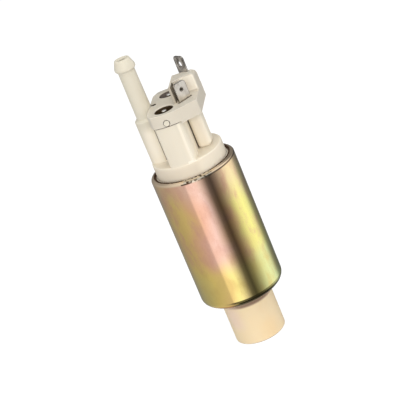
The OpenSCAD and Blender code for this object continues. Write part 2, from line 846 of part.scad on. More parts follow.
module armature_winding() {
    color(copper)
        union() {
            coil_head(z_core - coil_head_h);
            coil_head(z_core_top);
            translate([0, 0, z_core - 1])
                linear_extrude(z_core_top - z_core + 2)
                    each_pole() slot_plan(slot_liner_t);
        }
}

// Moulded hub that carries the copper segments
module commutator_hub() {
    color("#5A3A28")
        difference() {
            union() {
                post(track_r, z_hub, z_segment);
                post(hub_sleeve_d / 2, z_hub, z_track);
            }
            post(shaft_r, z_hub - eps, z_track + eps);
        }
}

// Flat commutator: copper segments with gaps between them
module commutator() {
    color(copper)
        difference() {
            sleeve(track_r, hub_sleeve_d / 2, z_segment, z_track);
            each_pole()
                translate([0, -segment_gap / 2, z_segment - eps])
                    cube([can_r, segment_gap, segment_h + 2 * eps]);
        }
}

module magnet(middle) {
    color(ferrite) sector(plug_r, magnet_in_r, z_rim, z_skirt, middle, magnet_arc);
}
module magnet_left() magnet(180);
module magnet_right() magnet(0);

// Bent clip that holds the two magnets apart
module magnet_clip(middle) {
    open = 180 - magnet_arc;
    leg = clip_t / plug_r * 180 / PI;
    inset = 0.3;
    z = z_rim + 1;
    top = z_skirt - 1;
    color(steel)
        union() {
            sector(plug_r, plug_r - clip_t, z, top, middle, open - 2 * inset);
            for (side = [-1, 1])
                sector(plug_r, plug_r - clip_leg, z, top,
                    middle + side * (open / 2 - inset - leg / 2), leg);
        }
}
module magnet_spring_front() magnet_clip(-90);
module magnet_spring_rear() magnet_clip(90);

// Plan of the front tower: a box round the well with its outer wall on the head's circle
module tower_plan(inset) {
    half = tower_w / 2 - inset;
    front = tower_r + eps;
    back = tower_r - tower_wide_l;
    intersection() {
        circle(r = tower_r - inset, $fn = 128);
        polygon(rounded([
            [-half + tower_step, -tower_split, 0.8],
            [-half + tower_step, -back],
            [-half, -back],
            [-half, -front + tower_bevel_l, tower_corner_r],
            [-half + tower_bevel_w, -front],
            [half - tower_bevel_w, -front],
            [half, -front + tower_bevel_l, tower_corner_r],
            [half, -back],
            [half - tower_step, -back],
            [half - tower_step, -tower_split, 0.8]]));
    }
}

// Space from the axis of a nub, whose end stands past the cover's edge
module at_nub() {
    translate([nub_x, -cover_edge_r - nub_proud, z_tower + nub_rise])
        rotate([-90, 0, 0])
            children();
}

// Nub with its neck down to the tower, which the cover's outer wall hides, grown all round
module nub(grow) {
    neck_from = nub_proud + nub_neck_in - grow;
    cylinder(d = nub_d + 2 * grow, h = nub_len + grow, $fn = 48);
    translate([-nub_neck_w / 2 - grow, 0, neck_from])
        cube([nub_neck_w + 2 * grow, nub_rise + seam_h + eps, nub_len + grow - neck_from]);
}

// Plan of the pillar round its bore's axis, grown all round or stepped in at its front and outer sides
module pillar_plan(grow, step = 0) {
    front = pillar_reach + grow - step;
    side = pillar_right + grow - step;
    back = pillar_left + grow;
    polygon(rounded([
        [-back, -front, pillar_corner_r],
        [side, -front, pillar_corner_r],
        [side, back, pillar_corner_r],
        [-back, back, pillar_corner_r]]));
}

module front_and_rear() {
    children();
    mirror([0, 1, 0]) children();
}

// Outlet boss, hose stem and bead
module outlet_stem() {
    at_outlet()
        rotate_extrude($fn = 96)
            polygon(rounded([
                [0, z_shoulder],
                [boss_d / 2, z_shoulder],
                [boss_d / 2, z_boss - boss_chamfer],
                [boss_d / 2 - boss_chamfer, z_boss],
                [stem_d / 2, z_boss, 0.5],
                [stem_top_d / 2, z_tip - bead_h],
                [bead_d / 2, z_tip - bead_h + bead_slope_h],
                [bead_d / 2, z_tip - bead_h + bead_slope_h + bead_land],
                [tip_d / 2, z_tip, 0.4],
                [0, z_tip]]));
}

// Space that runs from the motor through the outlet valve and up the stem
module outlet_bore() {
    at_outlet()
        rotate_extrude()
            polygon([
                [0, z_skirt - eps],
                [valve_bore_d / 2, z_skirt - eps],
                [valve_bore_d / 2, z_chamber],
                [valve_bore_d / 2 - 0.5, z_chamber],
                [stem_bore_d / 2, z_chamber + chamber_neck_h],
                [stem_bore_d / 2, z_tip - (stem_mouth_d - stem_bore_d) / 2],
                [stem_mouth_d / 2 + eps, z_tip + eps],
                [0, z_tip + eps]]);
}

// Space for one brush, its spring and the cap that closes them in
module brush_well() {
    w = brush_w + 2 * brush_guide_gap;
    t = brush_t + 2 * brush_guide_gap;
    at_front_well() {
        translate([-w / 2, -t / 2, z_head - eps])
            cube([w, t, z_guide_top - z_head + eps]);
        post(well_d / 2, z_guide_top - 0.1, z_tower + eps);
        post(well_cap_d / 2, z_cap_seat, z_tower + eps);
    }
}

// Moulded head
module end_cap() {
    color(cream)
        difference() {
            union() {
                rotate_extrude($fn = 128)
                    polygon(rounded([
                        [0, z_head],
                        [plug_r - skirt_t, z_head],
                        [plug_r - skirt_t, z_skirt],
                        [plug_r, z_skirt],
                        [plug_r, lip_under(plug_r)],
                        [collar_r, lip_under(collar_r)],
                        [collar_r, z_collar, collar_edge_r],
                        [0, z_collar]]));
                front_and_rear()
                    translate([0, 0, z_collar - eps]) {
                        linear_extrude(tower_h - seam_h + eps)
                            tower_plan(0);
                        linear_extrude(tower_h + eps)
                            tower_plan(seam_depth);
                    }
                translate([-outlet_x, -web_t / 2, z_collar - eps])
                    cube([outlet_x + tower_w / 2 - 1, web_t, tower_h + eps]);
                for (x = [-tower_w / 2 + tower_step, tower_w / 2 - tower_step - web_t])
                    translate([x, -tower_split - 1, z_collar - eps])
                        cube([web_t, 2 * tower_split + 2, tower_h + eps]);
                at_pillar() {
                    translate([0, 0, z_collar - eps])
                        linear_extrude(tower_h + eps)
                            pillar_plan(0, pillar_foot_step);
                    translate([0, 0, z_collar + pillar_foot_h])
                        linear_extrude(tower_h - pillar_foot_h)
                            pillar_plan(0);
                }
                translate([tower_w / 2 - web_t, pillar_y - web_t / 2, z_collar - eps])
                    cube([pillar_x - tower_w / 2 + web_t, web_t, tower_h + eps]);
                outlet_stem();
                front_and_rear()
                    at_nub() nub(0);
            }
            seal_groove(z_cap_seal);
            outlet_bore();
            front_and_rear() brush_well();
            post(bearing_r, z_head - eps, z_upper_bearing + bearing_h);
            post(bearing_r - bearing_ledge, z_head, z_upper_bearing + bearing_h + 1);
            at_pillar() {
                post(relief_bore_d / 2, z_head - eps, z_relief_top);
                translate([0, 0, z_relief_top - 1])
                    rotate([0, 90, 45])
                        cylinder(d = relief_vent_d, h = pillar_left + pillar_right, $fn = 24);
            }
        }
}

module brush() {
    color(carbon)
        translate([-brush_w / 2, -brush_t / 2, z_brush])
            cube([brush_w, brush_t, brush_len]);
}
module brush_front() at_front_well() brush();
module brush_rear() at_rear_well() brush();

module brush_spring() {
    color("silver")
        translate([0, 0, z_brush_top + spring_gap])
            coil_spring(brush_spring_d, brush_spring_wire,
                z_cap_seat - z_brush_top - 2 * spring_gap, brush_curls);
}
module brush_spring_front() at_front_well() brush_spring();
module brush_spring_rear() at_rear_well() brush_spring();

module brush_lead() color(copper) post(brush_lead_d / 2, z_brush_top, z_cap_seat);
module brush_lead_front() at_front_well() brush_lead();
module brush_lead_rear() at_rear_well() brush_lead();

// Cap of a brush well, with the post that the strap's eye goes round
module brush_cap() {
    z_post = z_cover - 0.6;
    color(tin)
        rotate_extrude()
            polygon(rounded([
                [0, z_cap_seat],
                [well_cap_d / 2, z_cap_seat],
                [well_cap_d / 2, z_tower],
                [cap_post_d / 2, z_tower],
                [cap_post_d / 2, z_post, cap_post_d / 2 - 0.2],
                [0, z_post]]));
}
module brush_cap_front() at_front_well() brush_cap();
module brush_cap_rear() at_rear_well() brush_cap();

// Bush pressed into the outlet boss, with the seat of the outlet valve
module check_seat() {
    color(bronze)
        at_outlet()
            sleeve(valve_bore_d / 2, valve_hole_d / 2, z_head, z_valve_seat);
}

// Outlet valve: a disc with a nose in the seat and a stem in the guide
module check_valve() {
    nose_gap = 0.2;
    nose_h = 1.5;
    color("#2F5D8A")
        at_outlet()
            rotate_extrude()
                polygon(rounded([
                    [0, z_valve_seat - nose_h],
                    [valve_hole_d / 2 - nose_gap - 0.5, z_valve_seat - nose_h],
                    [valve_hole_d / 2 - nose_gap, z_valve_seat + brush_gap],
                    [valve_head_d / 2, z_valve_seat + brush_gap, 0.3],
                    [valve_head_d / 2, z_valve_top, 0.4],
                    [valve_stem_d / 2, z_valve_top],
                    [valve_stem_d / 2, z_chamber + 1],
                    [0, z_chamber + 1]]));
}

module check_spring() {
    color("silver")
        at_outlet()
            translate([0, 0, z_valve_top + spring_gap])
                coil_spring(valve_spring_d, valve_spring_wire,
                    valve_spring_h - 2 * spring_gap, valve_curls);
}

// Guide of the outlet valve: a ring and a hub joined by three spokes
module check_guide() {
    rim_t = 0.6;
    hub_t = 0.7;
    spoke_w = 0.9;
    bore_r = valve_stem_d / 2 + valve_stem_gap;
    spoke_in = bore_r + hub_t / 2;
    spoke_out = valve_bore_d / 2 - rim_t / 2;
    color(tin)
        at_outlet()
            translate([0, 0, z_valve_guide])
                linear_extrude(valve_guide_h) {
                    ring(valve_bore_d / 2, valve_bore_d / 2 - rim_t);
                    ring(bore_r + hub_t, bore_r);
                    for (i = [0:2])
                        rotate(120 * i)
                            translate([spoke_in, -spoke_w / 2])
                                square([spoke_out - spoke_in, spoke_w]);
                }
}

module relief_seat() {
    color(bronze)
        at_pillar()
            sleeve(relief_bore_d / 2, relief_hole_d / 2, z_head, z_relief_seat);
}

module relief_ball() {
    color("silver")
        at_pillar()
            translate([0, 0, z_ball])
                sphere(r = ball_r);
}

module relief_spring() {
    color("silver")
        at_pillar()
            translate([0, 0, z_relief_spring])
                coil_spring(relief_spring_d, relief_spring_wire, relief_spring_h, relief_curls);
}

// Plan of the cover plate: straight beside the connector block, round in front and behind
module cover_plan() {
    polygon(rounded(concat(
        [[-cover_left_x, -cover_rear_y, cover_corner_r]],
        arc(cover_edge_r, 250, 295, 12),
        [[cover_right_x, -cover_front_y, cover_corner_r],
         [cover_right_x, cover_rear_y, cover_corner_r]],
        arc(cover_edge_r, 65, 110, 12),
        [[-cover_left_x, cover_rear_y, cover_corner_r]])));
}

// Plan of the connector block with the nook for the low blade
module block_plan() {
    polygon(rounded([
        [block_left_x, -nook_reach],
        [nook_x, -nook_reach],
        [nook_x, -nook_slant_y],
        [nook_x + block_front_y + nook_slant_y, block_front_y],
        [cover_right_x, block_front_y, block_corner_r],
        [cover_right_x, cover_rear_y, cover_corner_r],
        [block_left_x, cover_rear_y, block_corner_r]]));
}

// Everything above the block's sloped back
module block_slope() {
    drop = cover_rear_y - block_slope_y + eps;
    translate([0, block_slope_y, z_block])
        rotate([90, 0, 90])
            linear_extrude(cover_right_x + eps)
                polygon([[0, 0], [drop, -drop], [drop, eps], [0, eps]]);
}

// Everything above the bevel along the block's outer top edge
module block_bevel_cut() {
    translate([cover_right_x, cover_rear_y + eps, z_block])
        rotate([90, 0, 0])
            linear_extrude(cover_rear_y - block_front_y + 2 * eps)
                polygon([[-block_bevel - eps, eps], [eps, -block_bevel - eps], [eps, eps]]);
}

// Plan of the cover's edge beside the towers, which hangs lower and clears the pillar
module skirt_plan() {
    difference() {
        cover_plan();
        translate([-can_r, -can_r])
            square([can_r + tower_w / 2 + cover_skirt_gap, can_d]);
        translate([pillar_x, pillar_y])
            pillar_plan(cover_skirt_gap);
    }
}

// Moulded cover over the brush towers, with the connector block
module terminal_cover() {
    strap_room = tab_t + 0.1;
    color(cream)
        difference() {
            union() {
                translate([0, 0, z_tower])
                    linear_extrude(cover_t)
                        cover_plan();
                translate([0, 0, z_tower - cover_skirt_h])
                    linear_extrude(cover_skirt_h + eps)
                        skirt_plan();
                translate([0, 0, z_cover - eps])
                    linear_extrude(block_h + eps)
                        block_plan();
            }
            block_slope();
            block_bevel_cut();
            at_outlet() post(boss_d / 2 + cover_boss_gap, z_tower - eps, z_boss + cover_boss_gap);
            at_outlet() {
                post(stem_d / 2 + cover_boss_gap, z_tower - eps, z_cover + eps);
                translate([(stem_d + notch_d) / 2, notch_y, 0])
                    post(notch_d / 2, z_tower - eps, z_cover + eps);
            }
            front_and_rear()
                at_front_well() {
                    post(opening_d / 2, z_tower + strap_room, z_cover + eps);
                    translate([0, 0, z_cover - opening_chamfer])
                        cylinder(r1 = opening_d / 2, r2 = opening_d / 2 + opening_chamfer + eps,
                            h = opening_chamfer + eps);
                }
            translate([0, 0, z_tower - below_skirt])
                linear_extrude(strap_room + below_skirt) {
                    low_strap_plan(strap_gap);
                    high_strap_plan(strap_gap);
                }
            low_blade_slot();
            high_blade_slot();
            front_and_rear()
                at_nub() nub(nub_gap);
        }
}

// Plan of a strap: an eye round the cap's post and a bar to the blade's foot
module strap_plan(x, y, grow) {
    reach = norm([x, y]);
    circle(r = strap_eye_r + grow, $fn = 48);
    rotate([0, 0, atan2(y, x)])
        translate([0, -strap_w / 2 - grow])
            square([reach + grow, strap_w + 2 * grow]);
}
module low_strap_plan(grow) {
    at_front_well() strap_plan(low_tab_x, well_offset - low_tab_y, grow);
}
module high_strap_plan(grow) {
    at_rear_well() strap_plan(high_tab_x, high_tab_y - well_offset, grow);
}

module low_blade_place() translate([low_tab_x, -low_tab_y, z_tower]) rotate([0, 0, 45]) children();
module high_blade_place() translate([high_tab_x, high_tab_y, z_tower]) rotate([0, 0, -45]) children();

// Slot for a blade, with its own gap beside and in front of the blade
module blade_slot(height, gap) {
    w = tab_w + 2 * gap;
    t = tab_t + gap + strap_gap;
    translate([-w / 2, -tab_t / 2 - gap, -below_skirt])
        cube([w, t, height + below_skirt]);
}
module low_blade_slot() low_blade_place() blade_slot(cover_t + tab_h, low_slot_gap);
module high_blade_slot() high_blade_place() blade_slot(cover_t + block_h + eps, strap_gap);

// Blade standing on z = 0, with a tapered tip and a hole
module blade(height, hole_d, hole_drop) {
    half = tab_w / 2;
    translate([0, tab_t / 2, 0])
        rotate([90, 0, 0])
            linear_extrude(tab_t)
                difference() {
                    polygon([[-half, 0], [half, 0], [half, height - tab_tip],
                        [half - tab_tip, height], [-half + tab_tip, height],
                        [-half, height - tab_tip]]);
                    translate([0, height - hole_drop])
                        circle(d = hole_d, $fn = 32);
                }
}

// Terminal in the nook, with its strap to the front brush
module terminal_low() {
    color(tin)
        difference() {
            union() {
                translate([0, 0, z_tower])
                    linear_extrude(tab_t)
                        low_strap_plan(0);
                low_blade_place() blade(cover_t + tab_h, low_hole_d, 3.4);
            }
            at_front_well() post(cap_post_d / 2, z_tower - eps, z_cover);
        }
}

// Terminal behind the block's top, with its strap to the rear brush
module terminal_high() {
    slope_z = z_block - z_tower - (high_tab_y - block_slope_y);
    color(tin)
        difference() {
            union() {
                translate([0, 0, z_tower])
                    linear_extrude(tab_t)
                        high_strap_plan(0);
                high_blade_place() blade(slope_z + tab_h, high_hole_d, 3.6);
            }
            at_rear_well() post(cap_post_d / 2, z_tower - eps, z_cover);
        }
}

can();
inlet_housing();
inlet_seal();
cavity_ring();
outer_gear();
inner_gear();
port_plate();
dowel_pins();
drive_coupling();
lower_bearing();
lower_spacer();
shaft();
armature_core();
armature_winding();
commutator_hub();
commutator();
upper_spacer();
upper_bearing();
magnet_left();
magnet_right();
magnet_spring_front();
magnet_spring_rear();
end_cap();
cap_seal();
brush_front();
brush_rear();
brush_spring_front();
brush_spring_rear();
brush_lead_front();
brush_lead_rear();
brush_cap_front();
brush_cap_rear();
check_seat();
check_valve();
check_spring();
check_guide();
relief_seat();
relief_ball();
relief_spring();
terminal_cover();
terminal_low();
terminal_high();
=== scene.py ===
import math

import bpy
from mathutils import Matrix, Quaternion, Vector


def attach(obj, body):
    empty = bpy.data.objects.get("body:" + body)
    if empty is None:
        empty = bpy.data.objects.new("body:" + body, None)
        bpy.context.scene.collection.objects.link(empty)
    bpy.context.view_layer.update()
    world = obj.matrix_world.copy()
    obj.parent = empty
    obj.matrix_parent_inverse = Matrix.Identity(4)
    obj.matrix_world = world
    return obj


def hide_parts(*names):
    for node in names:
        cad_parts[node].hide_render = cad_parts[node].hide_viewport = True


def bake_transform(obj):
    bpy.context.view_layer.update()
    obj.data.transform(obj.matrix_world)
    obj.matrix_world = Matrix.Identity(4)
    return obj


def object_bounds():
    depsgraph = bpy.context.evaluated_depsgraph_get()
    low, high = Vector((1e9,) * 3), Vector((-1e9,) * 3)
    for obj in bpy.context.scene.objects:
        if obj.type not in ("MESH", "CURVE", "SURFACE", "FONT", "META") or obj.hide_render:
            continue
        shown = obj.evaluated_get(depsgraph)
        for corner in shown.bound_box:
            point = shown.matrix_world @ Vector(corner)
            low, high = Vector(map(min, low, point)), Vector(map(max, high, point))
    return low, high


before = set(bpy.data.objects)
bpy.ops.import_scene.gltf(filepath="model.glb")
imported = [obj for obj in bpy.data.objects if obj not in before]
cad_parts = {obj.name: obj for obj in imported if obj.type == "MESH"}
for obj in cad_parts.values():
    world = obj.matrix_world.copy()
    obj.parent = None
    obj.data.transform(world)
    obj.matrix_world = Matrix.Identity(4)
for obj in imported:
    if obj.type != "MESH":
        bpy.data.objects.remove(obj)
cadLow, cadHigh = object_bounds()
mm = 0.001
print("frame loaded:", len(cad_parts), "nodes")


def toLinear(hexColour):
    parts = [int(hexColour[i:i + 2], 16) / 255 for i in (1, 3, 5)]
    return [p / 12.92 if p <= 0.04045 else ((p + 0.055) / 1.055) ** 2.4 for p in parts] + [1.0]


def grey(level):
    return [level] * 3 + [1]


def fillRamp(ramp, stops):
    while len(ramp.elements) < len(stops):
        ramp.elements.new(0.5)
    for element, (place, colour) in zip(ramp.elements, stops):
        element.position = place
        element.color = toLinear(colour) if isinstance(colour, str) else grey(colour)


def socketOf(source):
    return source.outputs[0] if isinstance(source, bpy.types.Node) else source


def addNode(tree, kind, settings=None, links=None):
    made = tree.nodes.new("ShaderNode" + kind)
    for name, value in (settings or {}).items():
        if name == "stops":
            fillRamp(made.color_ramp, value)
        elif isinstance(name, int) or name in made.inputs:
            made.inputs[name].default_value = value
        else:
            setattr(made, name, value)
    for name, source in (links or {}).items():
        tree.links.new(socketOf(source), made.inputs[name])
    return made


# Lays the second colour over the first by a share. Each is a hex value, a number or what a node gives
def layOver(tree, share, first, second, blend="MIX"):
    mix = addNode(tree, "Mix", {"data_type": "RGBA", "blend_type": blend})
    for socket, value in ((0, share), (6, first), (7, second)):  # 6 and 7 are this node's two colours
        if isinstance(value, (bpy.types.Node, bpy.types.NodeSocket)):
            tree.links.new(socketOf(value), mix.inputs[socket])
        else:
            mix.inputs[socket].default_value = toLinear(value) if isinstance(value, str) else value
    return mix.outputs[2]


def newMaterial(name, surface):
    made = bpy.data.materials.new(name)
    made.use_nodes = True
    shader = made.node_tree.nodes["Principled BSDF"]
    for socket, value in surface.items():
        shader.inputs[socket].default_value = value
    return made, made.node_tree, shader


def perMm(size):
    return 1 / (size * mm)  # a texture's scale for a pattern of that size


def perWave(size):
    return perMm(size) * math.tau / 20  # at scale 1 a wave texture repeats every tau / 20


# The photograph's view: the pump stands upright here and the camera is turned about its own axis
photoView = {
    "azimuth": 14.0,
    "elevation": 21.55,
    "roll": -22.66,
    "distance": 657.5 * mm,
    "target": (-2.66 * mm, -0.66 * mm, 69.03 * mm),
    "lens": 136.9,
    "sensor": 36.0,
    "clipStart": 0.01,
}


# Adds a camera or a lamp that looks at the pump, with its azimuth counted from the front to the right
def addAimed(thing, v):
    a, e = math.radians(v["azimuth"]), math.radians(v["elevation"])
    out = Vector((math.sin(a) * math.cos(e), -math.cos(a) * math.cos(e), math.sin(e)))
    thing.location = Vector(photoView["target"]) + out * v["distance"]
    thing.rotation_mode = "QUATERNION"
    turn = Quaternion((0, 0, 1), math.radians(v.get("roll", 0)))
    thing.rotation_quaternion = (-out).to_track_quat("-Z", "Y") @ turn
    bpy.context.scene.collection.objects.link(thing)


def addCamera(v):
    data = bpy.data.cameras.new("camera")
    data.lens = v["lens"]
    data.sensor_width = v["sensor"]
    data.clip_start = v["clipStart"]
    camera = bpy.data.objects.new("camera", data)
    addAimed(camera, v)
    bpy.context.scene.camera = camera


addCamera(photoView)
print("camera placed")

# White studio. Metal mirrors a ring of softboxes with dark gaps, in turns from the camera to the right.
# Matt surfaces are lit by a big box behind the camera, and from the horizon more than from above.
# Heights go from -1, straight down, to 1, straight up
studio = {
    "horizon": 0.66,
    "overhead": 0.54,
    "gaps": [
        (0.0, 0.80), (0.019, 0.5), (0.045, 0.15), (0.077, 0.07), (0.117, 0.25), (0.159, 0.56),
        (0.205, 1.0), (0.256, 1.16), (0.306, 0.98), (0.356, 0.32), (0.41, 0.16), (0.5, 0.25),
        (0.59, 0.34), (0.658, 0.46), (0.725, 0.52), (0.795, 0.63), (0.855, 0.70), (0.887, 0.74),
        (0.897, 1.12), (0.936, 1.18), (0.968, 1.15), (1.0, 0.80)],
    # by (height + 1) / 2, so that 0 is straight down: dark under the can's edge, plain overhead
    "upward": [
        (0.0, 0.3), (0.12, 0.5), (0.22, 0.85), (0.3, 1.0), (0.42, 1.0), (0.6, 0.95), (0.7, 1.15),
        (1.0, 1.15)],
    "ceiling": 0.88,
    "ceilingFrom": 0.6,
    "ceilingFull": 0.95,
    # the table as the can's lower edge mirrors it: black to the right of the camera, pale to the left
    "under": [
        (0.0, 0.03), (0.26, 0.03), (0.36, 0.25), (0.55, 0.6), (0.78, 0.8), (0.84, 0.5), (0.88, 0.03),
        (1.0, 0.03)],
    "underFrom": -0.48,
    "underFull": -0.7,
}


# Turns round the upright axis to the right, which begin with start on the side of the photograph's camera
def turnsRound(tree, split, start):
    around = addNode(tree, "Math", {"operation": "ARCTAN2"}, {0: split.outputs[1], 1: split.outputs[0]})
    turns = addNode(tree, "Math", {"operation": "DIVIDE", 1: math.tau}, {0: around})
    front = start + 0.25 - photoView["azimuth"] / 360
    return addNode(tree, "Math", {"operation": "ADD", 1: front}, {0: turns})


# Smooth share of what lies between two levels: 0 at the first, 1 at the second
def smoothShare(tree, value, start, full):
    share = addNode(tree, "MapRange", {
        "interpolation_type": "SMOOTHSTEP", "From Min": start, "From Max": full}, {"Value": value})
    return share.outputs[0]


# 1 for what the eye sees straight on or through something clear, 0 for what it sees by light or mirror
def seenStraight(tree, ray):
    return addNode(tree, "Math", {"operation": "MAXIMUM"},
                   {0: ray.outputs["Is Camera Ray"], 1: ray.outputs["Is Transmission Ray"]})


def lightWorld(s):
    world = bpy.data.worlds.new("studio")
    bpy.context.scene.world = world
    world.use_nodes = True
    tree = world.node_tree
    tree.nodes.clear()
    split = addNode(tree, "SeparateXYZ", links={0: addNode(tree, "TexCoord").outputs["Generated"]})
    up = split.outputs[2]
    whole = addNode(tree, "Math", {"operation": "FRACT"}, {0: turnsRound(tree, split, 0.0)})
    gaps = addNode(tree, "ValToRGB", {"stops": s["gaps"]}, {0: whole})
    height = addNode(tree, "MapRange", {"From Min": -1.0}, {"Value": up})
    upward = addNode(tree, "ValToRGB", {"stops": s["upward"]}, {0: height})
    under = addNode(tree, "ValToRGB", {"stops": s["under"]}, {0: whole})
    ring = layOver(tree, 1.0, gaps, upward, "MULTIPLY")
    ring = layOver(tree, smoothShare(tree, up, s["underFrom"], s["underFull"]), ring, under)
    raised = smoothShare(tree, up, s["ceilingFrom"], s["ceilingFull"])
    mirrored = layOver(tree, raised, ring, grey(s["ceiling"]))
    soft = layOver(tree, up, grey(s["horizon"]), grey(s["overhead"]))
    ray = addNode(tree, "LightPath")
    fill = layOver(tree, ray.outputs["Is Glossy Ray"], soft, mirrored)
    colour = layOver(tree, seenStraight(tree, ray), fill, "#FFFFFF")
    back = addNode(tree, "Background", {"Strength": 1.0}, {"Color": colour})
    addNode(tree, "OutputWorld", links={"Surface": back})


lightWorld(studio)

# Softboxes: the key stands behind the camera, so that hollows are as bright as the faces round them.
# Distances and sizes in metres, power in watts
softboxes = {
    "keyBox": {"azimuth": 4, "elevation": 17, "distance": 0.9, "size": 0.5, "power": 1.6,
               "colour": (1.0, 0.94, 0.92)},
    "rightBox": {"azimuth": 52, "elevation": 8, "distance": 0.9, "size": 0.4, "power": 1.65,
                 "colour": (1.0, 0.96, 0.94)},
    "leftBox": {"azimuth": -34, "elevation": 10, "distance": 0.9, "size": 0.4, "power": 1.2,
                "colour": (1.0, 0.97, 0.95)},
    "topBox": {"azimuth": 40, "elevation": 70, "distance": 0.9, "size": 0.6, "power": 2.8,
               "colour": (1.0, 1.0, 1.0)},
}


def addSoftbox(name, b):
    data = bpy.data.lights.new(name, "AREA")
    data.size = b["size"]
    data.energy = b["power"]
    data.color = b["colour"]
    lamp = bpy.data.objects.new(name, data)
    addAimed(lamp, b)
    lamp.visible_glossy = False  # the metal mirrors the ring of the studio instead


for boxName, box in softboxes.items():
    addSoftbox(boxName, box)

# Pale sweep under the pump, 3 m across: its own colour carries the shadow, the rest of its white is plain
floorSheet = {"size": 3.0, "shadowShare": 0.2, "seen": 0.92, "bounce": 0.5}


def addFloor(f):
    half = f["size"] / 2
    corners = [(-half, -half, 0), (half, -half, 0), (half, half, 0), (-half, half, 0)]
    mesh = bpy.data.meshes.new("floorSheet")
    mesh.from_pydata(corners, [], [(0, 1, 2, 3)])
    sheet = bpy.data.objects.new("floorSheet", mesh)
    bpy.context.scene.collection.objects.link(sheet)
    sheet.location.z = cadLow.z
    sheet.visible_glossy = False
    made, tree, shader = newMaterial("paperSweep", {
        "Base Color": grey(f["shadowShare"]), "Roughness": 1.0, "Specular IOR Level": 0.0})
    glow = addNode(tree, "MapRange", {"To Min": f["bounce"], "To Max": f["seen"]},
                   {"Value": seenStraight(tree, addNode(tree, "LightPath"))})
    plain = addNode(tree, "Emission", {"Color": grey(1)}, {"Strength": glow})
    paper = addNode(tree, "AddShader", links={0: shader, 1: plain})
    tree.links.new(paper.outputs[0], tree.nodes["Material Output"].inputs["Surface"])
    mesh.materials.append(made)


addFloor(floorSheet)
bpy.context.scene.view_settings.view_transform = "Standard"
print("studio lit")


# From here on, places and sizes in the dictionaries are millimetres in the pump's own frame
def objectPlace(tree):
    return addNode(tree, "TexCoord").outputs["Object"]


def addBump(tree, shader, height, depth):
    bump = addNode(tree, "Bump", {"Distance": depth * mm, "Strength": 1.0}, {"Height": height})
    tree.links.new(bump.outputs[0], shader.inputs["Normal"])


# Share of a crevice at each point: 1 deep in a gap, 0 on an open face
def crevice(tree, reach, start):
    openness = addNode(tree, "AmbientOcclusion", {"samples": 8, "Distance": reach * mm})
    return smoothShare(tree, openness.outputs["AO"], 1 - start, 0.12)  # a gap is full with 0.12 of its light


# Share of an edge at each point: 1 on the edge, 0 further off than its radius
edgeTurn = {"flat": 0.997, "full": 0.96}  # how far the rounded normal turns, as a cosine


def edgeShare(tree, radius):
    rounded = addNode(tree, "Bevel", {"samples": 4, "Radius": radius * mm})
    facing = addNode(tree, "NewGeometry").outputs["Normal"]
    same = addNode(tree, "VectorMath", {"operation": "DOT_PRODUCT"}, {0: rounded, 1: facing})
    share = addNode(tree, "MapRange", {"From Min": edgeTurn["flat"], "From Max": edgeTurn["full"]},
                    {"Value": same.outputs["Value"]})
    return share.outputs[0]


# Share of what lies above or below a level, smooth over its blend
def above(tree, value, level, blend):
    return smoothShare(tree, value, (level - blend / 2) * mm, (level + blend / 2) * mm)


def below(tree, value, level, blend):
    return addNode(tree, "Math", {"operation": "SUBTRACT", 0: 1.0},
                   {1: above(tree, value, level, blend)}).outputs[0]


def both(tree, first, second):
    return addNode(tree, "Math", {"operation": "MULTIPLY"}, {0: first, 1: second}).outputs[0]


# Share of a box with soft edges
def boxShare(tree, place, b):
    split = addNode(tree, "SeparateXYZ", links={0: place})
    share = None
    for axis in range(3):
        reached = above(tree, split.outputs[axis], b["low"][axis], b["blend"])
        passed = above(tree, split.outputs[axis], b["high"][axis], b["blend"])
        within = addNode(tree, "Math", {"operation": "SUBTRACT"}, {0: reached, 1: passed}).outputs[0]
        share = both(tree, share, within) if share else within
    return share


# Distance from an upright axis through a point of the two coordinates
def distanceFromAxis(tree, x, y):
    flat = addNode(tree, "CombineXYZ", links={0: x, 1: y})
    return addNode(tree, "VectorMath", {"operation": "LENGTH"}, {0: flat}).outputs["Value"]


